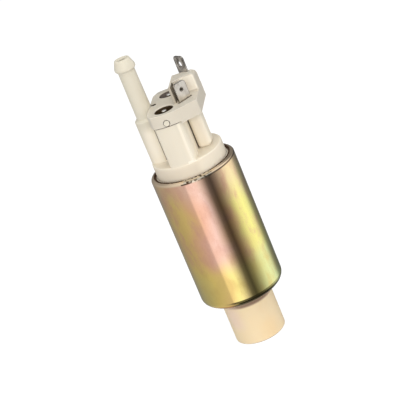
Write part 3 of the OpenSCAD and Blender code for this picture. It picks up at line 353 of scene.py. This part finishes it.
# Yellow passivated zinc on drawn steel: a satin mirror whose chromate film is as thin as the dip left it,
# so that its colour drifts round the can from gold to pink and, low down, to a greenish yellow.
# The colours go by turns round the can, with 0.5 on the camera's side
canFinish = {
    "roughness": 0.11,
    "film": {
        "upper": [
            (0.0, "#EBCB92"), (0.2, "#EACD8C"), (0.33, "#F0D180"), (0.37, "#EDCD80"), (0.4, "#EDBE8A"),
            (0.43, "#EDB89D"), (0.468, "#F2C8B8"), (0.5, "#F0C4A6"), (0.54, "#F0C088"), (0.57, "#F0CF90"),
            (0.6, "#F2E48E"), (0.65, "#F3EC8E"), (0.71, "#E6E092"), (0.85, "#E8BFA0"), (1.0, "#EBCB92")],
        "top": [
            (0.0, "#E2C7A0"), (0.3, "#E6C8A2"), (0.4, "#E8C0A2"), (0.46, "#F0CDBC"), (0.54, "#F0C6AE"),
            (0.6, "#F2D6B4"), (0.66, "#F2D8B6"), (0.72, "#EACFB4"), (1.0, "#E2C7A0")],
        "lower": [
            (0.0, "#E6CE86"), (0.3, "#E4D488"), (0.36, "#F0D47C"), (0.43, "#F0CC84"), (0.46, "#FAE892"),
            (0.5, "#F8E09A"), (0.54, "#E8D686"), (0.6, "#E4E6A0"), (0.65, "#DFE6A6"), (0.72, "#D2DEA0"),
            (0.85, "#E6D68C"), (1.0, "#E6CE86")],
        "level": 42,  # where the lower colours pass into the upper ones
        "blend": 13,
        "topLevel": 76,
        "topBlend": 18,
        "topShare": 0.75,
        "patch": 26,
        "wander": 0.09,  # turns through which the colours drift
        "rise": 12,  # how far the levels go up and down with them
    },
    "blotch": {"size": 5, "stretch": (1, 1, 0.5), "from": 0.48, "full": 0.68, "share": 0.55,
               "upper": "#DDA893", "lower": "#E0C478"},
    # rolled lip: paler on its crest as a painted highlight, with painted shade inside where it meets the head
    "lip": {"from": 85.0, "blend": 0.8, "paleCrest": "#F2DABA"},
    "grime": {"radius": 17.5, "radiusBlend": 0.3, "from": 84.9, "blend": 0.4, "ragged": 0.35, "grit": 1.1,
              "colour": "#5A4028", "roughness": 0.6},
    # painted reflection on the rolled foot: dark on the camera's side and to the right,
    # where it mirrors what is dark below it
    "foot": {"to": 24.4, "blend": 1.8,
             "footReflection": [(0.0, "#E0C8A0"), (0.36, "#E0C8A0"), (0.42, "#C8A078"), (0.45, "#3A2E22"),
                       (0.68, "#3A2E22"), (0.74, "#D8C49C"), (1.0, "#E0C8A0")]},
    # rolling scuffed the lip at the front and left a nick; the scuff's pale flecks are painted glints, and
    # shade is painted under the lip to the right of it
    "scuff": {"low": (-2.2, -19.5, 84.9), "high": (10.2, -14.6, 88), "blend": 1.2, "grit": 1.15,
              "marks": [(0.44, "#4A3422"), (0.53, "#D6CBB8")]},
    "nick": {"low": (-3.4, -19.5, 84.85), "high": (1.4, -17.6, 85.3), "blend": 0.25, "colour": "#4A3422"},
    "underLipShade": {"low": 84.8, "high": 85.4, "blend": 0.25, "colour": "#4A3222",
             "around": [(0.0, 0.0), (0.53, 0.0), (0.58, 0.85), (0.74, 0.9), (0.8, 0.0), (1.0, 0.0)]},
    # marks of the drawing die along the can, coarser than real ones so that they show
    "drawing": {"mark": 0.25, "stretch": (1, 1, 0.02), "depth": 0.004},
}


def chromateFilm(tree, place, height, turns, f, blotch):
    patches = addNode(tree, "TexNoise", {"Scale": perMm(f["patch"]), "Detail": 2.0, "Roughness": 0.45},
                      {"Vector": place})
    wander = addNode(tree, "MapRange", {
        "From Min": 0.3, "From Max": 0.7,  # a noise seldom leaves these
        "To Min": -f["wander"] / 2, "To Max": f["wander"] / 2}, {"Value": patches.outputs[0]})
    drifted = addNode(tree, "Math", {"operation": "ADD"}, {0: turns, 1: wander})
    whole = addNode(tree, "Math", {"operation": "FRACT"}, {0: drifted})
    uneven = addNode(tree, "Math", {"operation": "MULTIPLY_ADD", 1: f["rise"] * mm / f["wander"]},
                     {0: wander, 2: height})
    lower, upper, top = [
        addNode(tree, "ValToRGB", {"stops": f[zone]}, {0: whole}) for zone in ("lower", "upper", "top")]
    raised = above(tree, uneven, f["level"], f["blend"])
    colour = layOver(tree, raised, lower, upper)
    topmost = addNode(tree, "Math", {"operation": "MULTIPLY", 1: f["topShare"]},
                      {0: above(tree, uneven, f["topLevel"], f["topBlend"])})
    colour = layOver(tree, topmost, colour, top)
    smeared = addNode(tree, "Mapping", {"Scale": blotch["stretch"]}, {"Vector": place})
    spots = addNode(tree, "TexNoise", {"Scale": perMm(blotch["size"]), "Detail": 4.0, "Roughness": 0.6},
                    {"Vector": smeared})
    spotted = addNode(tree, "MapRange", {"From Min": blotch["from"], "From Max": blotch["full"],
                                         "To Max": blotch["share"]}, {"Value": spots.outputs[0]})
    return layOver(tree, spotted, colour, layOver(tree, raised, blotch["lower"], blotch["upper"]))


# Painted shade inside the lip where it meets the head, with a ragged inner border
def grimeShare(tree, place, split, g):
    out = distanceFromAxis(tree, split.outputs[0], split.outputs[1])
    grit = addNode(tree, "TexNoise", {"Scale": perMm(g["grit"]), "Detail": 3.0}, {"Vector": place})
    ragged = addNode(tree, "MapRange", {"To Min": -g["ragged"] * mm, "To Max": g["ragged"] * mm},
                     {"Value": grit.outputs[0]})
    reach = addNode(tree, "Math", {"operation": "ADD"}, {0: out, 1: ragged})
    return both(tree, below(tree, reach, g["radius"], g["radiusBlend"]),
                above(tree, split.outputs[2], g["from"], g["blend"]))


def scuffedLip(tree, place, colour, scuff, nick):
    grit = addNode(tree, "TexNoise", {"Scale": perMm(scuff["grit"]), "Detail": 2.0}, {"Vector": place})
    # the pale marks are painted glints
    marks = addNode(tree, "ValToRGB", {"stops": scuff["marks"]}, {0: grit})
    colour = layOver(tree, boxShare(tree, place, scuff), colour, marks)
    return layOver(tree, boxShare(tree, place, nick), colour, nick["colour"])


def yellowZinc(f):
    made, tree, shader = newMaterial("yellowZinc", {"Metallic": 1.0})
    place = objectPlace(tree)
    split = addNode(tree, "SeparateXYZ", links={0: place})
    height = split.outputs[2]
    turns = turnsRound(tree, split, 0.5)
    whole = addNode(tree, "Math", {"operation": "FRACT"}, {0: turns})
    lip, foot, grime, underLipShade = f["lip"], f["foot"], f["grime"], f["underLipShade"]
    # film, painted highlight on the lip, painted reflection on the foot, painted shade inside the lip,
    # scuffs with painted glints, and painted shade under the lip, each laid over the last
    colour = chromateFilm(tree, place, height, turns, f["film"], f["blotch"])
    # painted highlight: the lip's crest is paler
    colour = layOver(tree, above(tree, height, lip["from"], lip["blend"]), colour, lip["paleCrest"])
    # painted reflection of what is dark below the foot
    footReflection = addNode(tree, "ValToRGB", {"stops": foot["footReflection"]}, {0: whole})
    footReflected = layOver(tree, 1.0, colour, footReflection, "MULTIPLY")
    colour = layOver(tree, below(tree, height, foot["to"], foot["blend"]), colour, footReflected)
    # painted shade inside the lip where it meets the head
    grimy = grimeShare(tree, place, split, grime)
    colour = layOver(tree, grimy, colour, grime["colour"])
    colour = scuffedLip(tree, place, colour, f["scuff"], f["nick"])
    # painted shade under the lip, to the right of the camera's side
    band = both(tree, above(tree, height, underLipShade["low"], underLipShade["blend"]),
                below(tree, height, underLipShade["high"], underLipShade["blend"]))
    reach = addNode(tree, "ValToRGB", {"stops": underLipShade["around"]}, {0: whole})
    colour = layOver(tree, both(tree, band, reach), colour, underLipShade["colour"])
    tree.links.new(colour, shader.inputs["Base Color"])
    rough = addNode(tree, "MapRange", {"To Min": f["roughness"], "To Max": grime["roughness"]},
                    {"Value": grimy})
    tree.links.new(rough.outputs[0], shader.inputs["Roughness"])
    drawing = f["drawing"]
    drawn = addNode(tree, "Mapping", {"Scale": drawing["stretch"]}, {"Vector": place})
    marks = addNode(tree, "TexNoise", {"Scale": perMm(drawing["mark"]), "Detail": 2.0}, {"Vector": drawn})
    addBump(tree, shader, marks.outputs[0], drawing["depth"])
    return made


# Moulded acetal: dense, faintly waxy, with the fine spark-eroded grain of its mould. Light goes a little way
# in. Shade is painted where faces meet, and a highlight is painted on the edges as a paler colour. The grain
# is drawn coarser than the real one so that it shows. Stains and painted light and shade are soft boxes, laid
# on in their order
acetalFinish = {"cream": "#EAE2CF", "warm": "#E7DCC7", "patch": 14, "grain": 0.35, "depth": 0.01,
                "roughness": 0.42, "ior": 1.48,
                "soft": 0.35, "softReach": 1.2, "softSpread": (1.0, 0.95, 0.88),
                "creviceShade": "#4A3D2B", "creviceShadeReach": 1.2, "creviceShadeFrom": 0.62,
                "edge": "#FBF4E8", "edgeRadius": 0.45, "edgeShare": 0.25}
# Painted light and shade on the head: a painted shadow on the pillar's top under the cover; painted light on
# the web side, the pillar, the tower's side and the boss; painted highlights on the tower's bevel and its
# foot; painted shade on the tower front, the collar, the corner by the boss and the cover's seam
headFinish = dict(acetalFinish, creviceShade="#8C7C65", paintedLightAndStains={
    "greyerUpwards": {"low": (-40, -40, 104), "high": (40, 40, 200), "blend": 18, "colour": "#DAD4C2"},
    "pillarTop": {"low": (6.8, -6, 109.0), "high": (17, 8, 111.5), "blend": 1.4, "colour": "#A5947C"},
    "webSidePaintedLight": {"low": (5.0, -10.5, 92), "high": (6.6, -1.6, 110), "blend": 2.4, "colour": "#FAF1DF"},
    "pillar": {"low": (6.9, -4.5, 93), "high": (17, 6, 106), "blend": 3.0, "colour": "#F1E8D5"},
    "towerSidePaintedLight": {"low": (5.7, -13.6, 93), "high": (7, -9, 109.5), "blend": 1.6, "colour": "#F0E8D6"},
    "boss": {"low": (-13, -7, 91), "high": (-6.5, -2.4, 108), "blend": 5.0, "colour": "#F8F0DF"},
    "towerFrontPaintedShade": {"low": (-7, -17, 92.4), "high": (3.4, -14.2, 112), "blend": 2.4, "colour": "#E1D9C7"},
    "towerBevelPaintedHighlight": {"low": (4.1, -17, 92.4), "high": (5.8, -13.6, 110.3), "blend": 0.9, "colour": "#EFE7D5"},
    "bevelFootPaintedHighlight": {"low": (2.6, -16.2, 92), "high": (6, -14, 93), "blend": 0.6, "colour": "#F6EEDE"},
    "collar": {"low": (-20, -20, 84), "high": (6, 2, 91.4), "blend": 3.0, "colour": "#DED3BF"},
    "bossCorner": {"low": (-8.4, -5.2, 92.8), "high": (-5.8, -1.8, 110.6), "blend": 0.5, "colour": "#6B5A44"},
    "coverSeamPaintedShade": {"low": (-7.3, -17, 110.4), "high": (17, 17, 110.9), "blend": 0.1, "colour": "#4A3D2B"}})
# The two wells under the cover's face and the corners by them are painted dark as shade. Painted light lies
# on the block's front and the rear well's far wall; painted shade at the nook wall, behind the blade's hole,
# at the rear, at the block's foot and in the notch by the stem
coverFinish = dict(acetalFinish, cream="#D7D0C0", warm="#D2CABA", wells={
    "out": 9.4, "radius": 4.3, "top": 115.85, "blend": 0.1, "wellShade": "#4A3B27"}, paintedLightAndStains={
    "blockFrontPaintedLight": {"low": (8.5, 0.6, 116.8), "high": (14.5, 2.4, 123.4), "blend": 0.6, "colour": "#F4ECDC"},
    "nookWallEndPaintedShade": {"low": (4.4, -8.4, 116.4), "high": (6.4, -7.2, 124.2), "blend": 0.3, "colour": "#B4AC9C"},
    "bladeHolePaintedShadow": {"low": (7.3, -0.8, 118.5), "high": (8.6, 0.5, 120.1), "blend": 0.9, "colour": "#3A3024"},
    "rear": {"low": (-9, 12.6, 115.6), "high": (6, 17, 116.8), "blend": 1.2, "colour": "#C2BCAE"},
    "nookWallSidePaintedShadow": {"low": (5.7, -11, 116.5), "high": (6.1, -1.9, 124), "blend": 0.2, "colour": "#5A4E3C"},
    "blockFootPaintedShade": {"low": (3.9, 3.5, 116), "high": (4.9, 12.5, 116.5), "blend": 0.4, "colour": "#4E4634"},
    "stemNotchPaintedShade": {"low": (-7.2, -1, 110), "high": (-4.3, 2, 116.05), "blend": 0.2, "colour": "#4A422F"},
    "rearWellPaintedLight": {"low": (-5, 10.5, 110), "high": (5, 14, 115.7), "blend": 0.6, "colour": "#8A7F78"}})
# Painted shade along the neck's bottom edge, and a painted shadow under the can
tanFinish = dict(acetalFinish, cream="#F3E0BA", warm="#F1DAB1", paintedLightAndStains={
    "canShadow": {"low": (-30, -30, 18.6), "high": (30, 30, 40), "blend": 1.2, "colour": "#967B66"},
    "yellower": {"low": (3.5, -14, -4), "high": (11, -6, 9), "blend": 6, "colour": "#F3DAAE"},
    "pinker": {"low": (-12, -14, 8), "high": (-4, -6, 19), "blend": 6, "colour": "#EFD8C0"},
    "rim": {"low": (-30, -30, -2), "high": (30, 30, 0.3), "blend": 0.3, "colour": "#B39A86"}})


def wellShare(tree, place, w):
    split = addNode(tree, "SeparateXYZ", links={0: place})
    aside = addNode(tree, "Math", {"operation": "ABSOLUTE"}, {0: split.outputs[1]})
    along = addNode(tree, "Math", {"operation": "SUBTRACT", 1: w["out"] * mm}, {0: aside})
    away = distanceFromAxis(tree, split.outputs[0], along)
    return both(tree, below(tree, away, w["radius"], w["blend"]),
                below(tree, split.outputs[2], w["top"], w["blend"]))


def mouldedAcetal(name, f):
    made, tree, shader = newMaterial(name, {
        "Roughness": f["roughness"], "IOR": f["ior"], "Subsurface Weight": f["soft"],
        "Subsurface Scale": f["softReach"] * mm, "Subsurface Radius": f["softSpread"]})
    place = objectPlace(tree)
    patches = addNode(tree, "TexNoise", {"Scale": perMm(f["patch"]), "Detail": 3.0}, {"Vector": place})
    colour = layOver(tree, patches, f["cream"], f["warm"])
    # painted highlight: the edges are paler
    edges = addNode(tree, "Math", {"operation": "MULTIPLY", 1: f["edgeShare"]},
                    {0: edgeShare(tree, f["edgeRadius"])})
    colour = layOver(tree, edges, colour, f["edge"])
    # painted shade in the wells
    if "wells" in f:
        colour = layOver(tree, wellShare(tree, place, f["wells"]), colour, f["wells"]["wellShade"])
    # stains, painted light and painted shade, each a soft box laid over the colour
    for paintedLightOrStain in f["paintedLightAndStains"].values():
        colour = layOver(tree, boxShare(tree, place, paintedLightOrStain), colour, paintedLightOrStain["colour"])
    # painted shade where faces meet
    colour = layOver(tree, crevice(tree, f["creviceShadeReach"], f["creviceShadeFrom"]), colour, f["creviceShade"])
    tree.links.new(colour, shader.inputs["Base Color"])
    grain = addNode(tree, "TexNoise", {"Scale": perMm(f["grain"]), "Detail": 2.0}, {"Vector": place})
    addBump(tree, shader, grain.outputs[0], f["depth"])
    return made


# Tinned brass strip: bright and slightly streaked from rolling, dulled where it was handled, dark at edges
tinFinish = {"bright": "#FCF5EA", "dull": "#E0D8CC", "streak": 1.6, "stretch": (1, 1, 0.5), "roughness": 0.32,
             "depth": 0.01, "edge": "#3E362C", "edgeRadius": 0.5, "edgeShare": 0.9}
dullTinFinish = dict(tinFinish, bright="#E2DCD4", dull="#7A736C", stretch=(1, 1, 0.6), roughness=0.45)
# The brush caps are painted dark as shade in their wells, with a painted glint on the tips of their posts
capFinish = dict(tinFinish, bright="#6A5C48", dull="#3A3022", edgeShare=0, tip="#FFFDF8", tipFrom=115.5,
                 tipBlend=0.4)
# Solder on the posts is the same tin, smooth and bright to its rim
solderFinish = dict(tinFinish, bright="#FFFDF8", dull="#F4F0EA", edgeShare=0, roughness=0.18)


def tinnedBrass(name, f):
    made, tree, shader = newMaterial(name, {"Metallic": 1.0, "Roughness": f["roughness"]})
    place = objectPlace(tree)
    rolled = addNode(tree, "Mapping", {"Scale": f["stretch"]}, {"Vector": place})
    streaks = addNode(tree, "TexNoise", {"Scale": perMm(f["streak"]), "Detail": 3.0}, {"Vector": rolled})
    spread = addNode(tree, "MapRange", {"From Min": 0.35, "From Max": 0.65},  # most of a noise lies between
                     {"Value": streaks.outputs[0]})
    colour = layOver(tree, spread, f["dull"], f["bright"])
    if f["edgeShare"]:
        edges = addNode(tree, "Math", {"operation": "MULTIPLY", 1: f["edgeShare"]},
                        {0: edgeShare(tree, f["edgeRadius"])})
        colour = layOver(tree, edges, colour, f["edge"])
    # painted glint on the tips of the cap posts
    if "tip" in f:
        height = addNode(tree, "SeparateXYZ", links={0: place}).outputs[2]
        colour = layOver(tree, above(tree, height, f["tipFrom"], f["tipBlend"]), colour, f["tip"])
    tree.links.new(colour, shader.inputs["Base Color"])
    addBump(tree, shader, streaks.outputs[0], f["depth"])
    return made


# Solids with a fine random surface, told apart by its grain, which is drawn coarser than the real one so that
# it shows. Metals are ground, sintered or drawn
metalFinishes = {
    "groundSteel": {"dark": "#9FA1A5", "light": "#C2C4C8", "grain": 0.3, "stretch": (1, 1, 0.1),
                    "roughness": 0.22, "depth": 0.003},
    "sinteredSteel": {"dark": "#74767A", "light": "#94969A", "grain": 0.4, "roughness": 0.42, "depth": 0.02},
    "springWire": {"dark": "#A4A6AA", "light": "#C6C8CC", "grain": 0.2, "roughness": 0.25, "depth": 0.003},
    "sinteredBronze": {"dark": "#8F6B3C", "light": "#B38D55", "grain": 0.3, "roughness": 0.4, "depth": 0.02},
    "turnedCopper": {"dark": "#B4683F", "light": "#D08A5E", "grain": 0.4, "roughness": 0.25, "depth": 0.004},
    "ferrite": {"dark": "#2C2C2E", "light": "#434346", "grain": 0.5, "roughness": 0.6, "depth": 0.02},
}
# The others are pressed or moulded, and matt
mouldedFinishes = {
    "nitrileRubber": {"dark": "#17171A", "light": "#26262B", "grain": 0.3, "roughness": 0.7, "ior": 1.52,
                      "depth": 0.01},
    "pressedCarbon": {"dark": "#1B1B1D", "light": "#323236", "grain": 0.25, "roughness": 0.55, "ior": 1.6,
                      "depth": 0.015},
    "phenolic": {"dark": "#3C2418", "light": "#583626", "grain": 0.6, "roughness": 0.45, "ior": 1.6,
                 "depth": 0.008},
    "nylon": {"dark": "#DED7C2", "light": "#EDE7D6", "grain": 0.8, "roughness": 0.4, "ior": 1.53,
              "depth": 0.005},
    "blueAcetal": {"dark": "#274D77", "light": "#35618F", "grain": 0.8, "roughness": 0.38, "ior": 1.48,
                   "depth": 0.005},
}


def grainedSolid(name, f, surface):
    made, tree, shader = newMaterial(name, dict(surface, Roughness=f["roughness"]))
    place = addNode(tree, "Mapping", {"Scale": f.get("stretch", (1, 1, 1))}, {"Vector": objectPlace(tree)})
    grain = addNode(tree, "TexNoise", {"Scale": perMm(f["grain"]), "Detail": 3.0}, {"Vector": place})
    tree.links.new(layOver(tree, grain, f["dark"], f["light"]), shader.inputs["Base Color"])
    addBump(tree, shader, grain.outputs[0], f["depth"])
    return made


# Stack of silicon-steel sheets, seen as fine lines round the core, drawn coarser than real sheets of 0.5
laminationFinish = {"sheet": 0.8, "uneven": 0.1, "dark": "#5A5C60", "light": "#8E9195", "roughness": 0.4,
                    "depth": 0.03}


def laminatedSteel(f):
    made, tree, shader = newMaterial("laminatedSteel", {"Metallic": 1.0, "Roughness": f["roughness"]})
    sheets = addNode(tree, "TexWave", {
        "bands_direction": "Z", "Scale": perWave(f["sheet"]), "Distortion": f["uneven"]},
                     {"Vector": objectPlace(tree)})
    tree.links.new(layOver(tree, sheets, f["dark"], f["light"]), shader.inputs["Base Color"])
    addBump(tree, shader, sheets.outputs[0], f["depth"])
    return made


# Enamelled copper wire laid side by side in the coil heads
windingFinish = {"wire": 0.6, "uneven": 1.5, "dark": "#8C3F1E", "light": "#C4693A", "roughness": 0.28,
                 "enamel": 0.6, "enamelRoughness": 0.2, "depth": 0.1}


def enamelledWire(f):
    made, tree, shader = newMaterial("enamelledWire", {
        "Metallic": 1.0, "Roughness": f["roughness"], "Coat Weight": f["enamel"],
        "Coat Roughness": f["enamelRoughness"]})
    wires = addNode(tree, "TexWave", {
        "wave_type": "RINGS", "rings_direction": "Z", "Scale": perWave(f["wire"]), "Distortion": f["uneven"]},
                    {"Vector": objectPlace(tree)})
    tree.links.new(layOver(tree, wires, f["dark"], f["light"]), shader.inputs["Base Color"])
    addBump(tree, shader, wires.outputs[0], f["depth"])
    return made


finishes = {
    "yellowZinc": yellowZinc(canFinish),
    "creamAcetal": mouldedAcetal("creamAcetal", headFinish),
    "greyedAcetal": mouldedAcetal("greyedAcetal", coverFinish),
    "tanAcetal": mouldedAcetal("tanAcetal", tanFinish),
    "tinnedBrass": tinnedBrass("tinnedBrass", tinFinish),
    "dullTinnedBrass": tinnedBrass("dullTinnedBrass", dullTinFinish),
    "shadedCapBrass": tinnedBrass("shadedCapBrass", capFinish),
    "brightSolder": tinnedBrass("brightSolder", solderFinish),
    "laminatedSteel": laminatedSteel(laminationFinish),
    "enamelledWire": enamelledWire(windingFinish),
}
for finishName, finish in metalFinishes.items():
    finishes[finishName] = grainedSolid(finishName, finish, {"Metallic": 1.0})
for finishName, finish in mouldedFinishes.items():
    finishes[finishName] = grainedSolid(finishName, finish, {"IOR": finish["ior"]})

wornBy = {
    "yellowZinc": ["can"],
    "creamAcetal": ["end_cap"],
    "greyedAcetal": ["terminal_cover"],
    "tanAcetal": ["inlet_housing"],
    "tinnedBrass": ["terminal_low", "check_guide"],
    "dullTinnedBrass": ["terminal_high"],
    "shadedCapBrass": ["brush_cap_front", "brush_cap_rear"],
    "laminatedSteel": ["armature_core"],
    "enamelledWire": ["armature_winding", "brush_lead_front", "brush_lead_rear"],
    "groundSteel": ["shaft", "outer_gear", "inner_gear", "dowel_pins", "lower_spacer", "upper_spacer",
                    "relief_ball"],
    "sinteredSteel": ["cavity_ring", "port_plate"],
    "springWire": ["brush_spring_front", "brush_spring_rear", "check_spring", "relief_spring",
                   "magnet_spring_front", "magnet_spring_rear"],
    "sinteredBronze": ["lower_bearing", "upper_bearing", "check_seat", "relief_seat"],
    "turnedCopper": ["commutator"],
    "ferrite": ["magnet_left", "magnet_right"],
    "nitrileRubber": ["inlet_seal", "cap_seal"],
    "pressedCarbon": ["brush_front", "brush_rear"],
    "phenolic": ["commutator_hub"],
    "nylon": ["drive_coupling"],
    "blueAcetal": ["check_valve"],
}
for finishName, wearers in wornBy.items():
    for wearer in wearers:
        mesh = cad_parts[wearer].data
        mesh.materials.clear()
        mesh.materials.append(finishes[finishName])
print("materials set:", len(finishes))

# Moulded and stamped edges are never sharp: each visible node gets its real edge radius
edgeRadii = {"end_cap": 0.35, "terminal_cover": 0.4, "terminal_low": 0.08, "terminal_high": 0.08}
edgeRounding = {"weld": 0.002, "flatWithin": 0.2, "sharpFrom": 40, "segments": 3}  # millimetres and degrees


def softenEdges(piece, radius, r):
    weld = piece.modifiers.new("weld", "WELD")
    weld.merge_threshold = r["weld"] * mm
    flat = piece.modifiers.new("flat", "DECIMATE")
    flat.decimate_type = "DISSOLVE"
    flat.angle_limit = math.radians(r["flatWithin"])
    bevel = piece.modifiers.new("edge", "BEVEL")
    bevel.width = radius * mm
    bevel.segments = r["segments"]
    bevel.limit_method = "ANGLE"
    bevel.angle_limit = math.radians(r["sharpFrom"])
    bevel.miter_outer = "MITER_ARC"
    normals = piece.modifiers.new("normals", "WEIGHTED_NORMAL")
    normals.keep_sharp = True


for nodeName, edgeRadius in edgeRadii.items():
    softenEdges(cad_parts[nodeName], edgeRadius, edgeRounding)
print("edges softened")

# Domed rivet head on the post of each brush cap, bright where the lead was soldered
rivetHead = {"radius": 1.05, "edge": 0.15, "rise": 0.5, "foot": 115.5, "out": 9.4, "rings": 6, "sides": 32}


def addRivet(name, side, r):
    outline = [(r["radius"], 0.0)]
    for step in range(r["rings"]):
        lean = math.pi / 2 * step / r["rings"]
        outline.append((r["radius"] * math.cos(lean), r["edge"] + (r["rise"] - r["edge"]) * math.sin(lean)))
    points, faces, sides = [], [], r["sides"]
    for reach, height in outline:
        for spoke in range(sides):
            turn = math.tau * spoke / sides
            points.append((reach * math.cos(turn) * mm, reach * math.sin(turn) * mm, height * mm))
    for ring in range(len(outline) - 1):
        for spoke in range(sides):
            after = (spoke + 1) % sides
            low, high = ring * sides, (ring + 1) * sides
            faces.append((low + spoke, low + after, high + after, high + spoke))
    points.append((0, 0, r["rise"] * mm))
    last = (len(outline) - 1) * sides
    faces += [(last + spoke, last + (spoke + 1) % sides, len(points) - 1) for spoke in range(sides)]
    faces.append(tuple(reversed(range(sides))))
    mesh = bpy.data.meshes.new(name)
    mesh.from_pydata(points, [], faces)
    mesh.polygons.foreach_set("use_smooth", [len(face) < sides for face in faces])
    mesh.materials.append(finishes["brightSolder"])
    rivet = bpy.data.objects.new(name, mesh)
    bpy.context.scene.collection.objects.link(rivet)
    rivet.location = (0, side * r["out"] * mm, r["foot"] * mm)
    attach(rivet, "housing")


addRivet("rivetFront", -1, rivetHead)
addRivet("rivetRear", 1, rivetHead)
print("rivets added")

# Springs and brush leads: a copy of each node's mesh becomes a piece of its own, and the node is hidden
givingPieces = {
    "brush_spring_front": {"name": "brushCoilFront", "carrier": "front_brush", "slot": "spring_steel"},
    "brush_spring_rear": {"name": "brushCoilRear", "carrier": "rear_brush", "slot": "spring_steel"},
    "brush_lead_front": {"name": "brushLeadFront", "carrier": "front_brush", "slot": "winding_copper"},
    "brush_lead_rear": {"name": "brushLeadRear", "carrier": "rear_brush", "slot": "winding_copper"},
    "check_spring": {"name": "checkCoil", "carrier": "outlet_valve", "slot": "spring_steel"},
    "relief_spring": {"name": "reliefCoil", "carrier": "relief_valve", "slot": "spring_steel"},
}


def addGivingPiece(nodeName, g):
    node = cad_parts[nodeName]
    piece = bpy.data.objects.new(g["name"], node.data.copy())
    bpy.context.scene.collection.objects.link(piece)
    piece.matrix_world = node.matrix_world.copy()
    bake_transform(piece)
    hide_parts(nodeName)


for nodeName, giving in givingPieces.items():
    addGivingPiece(nodeName, giving)
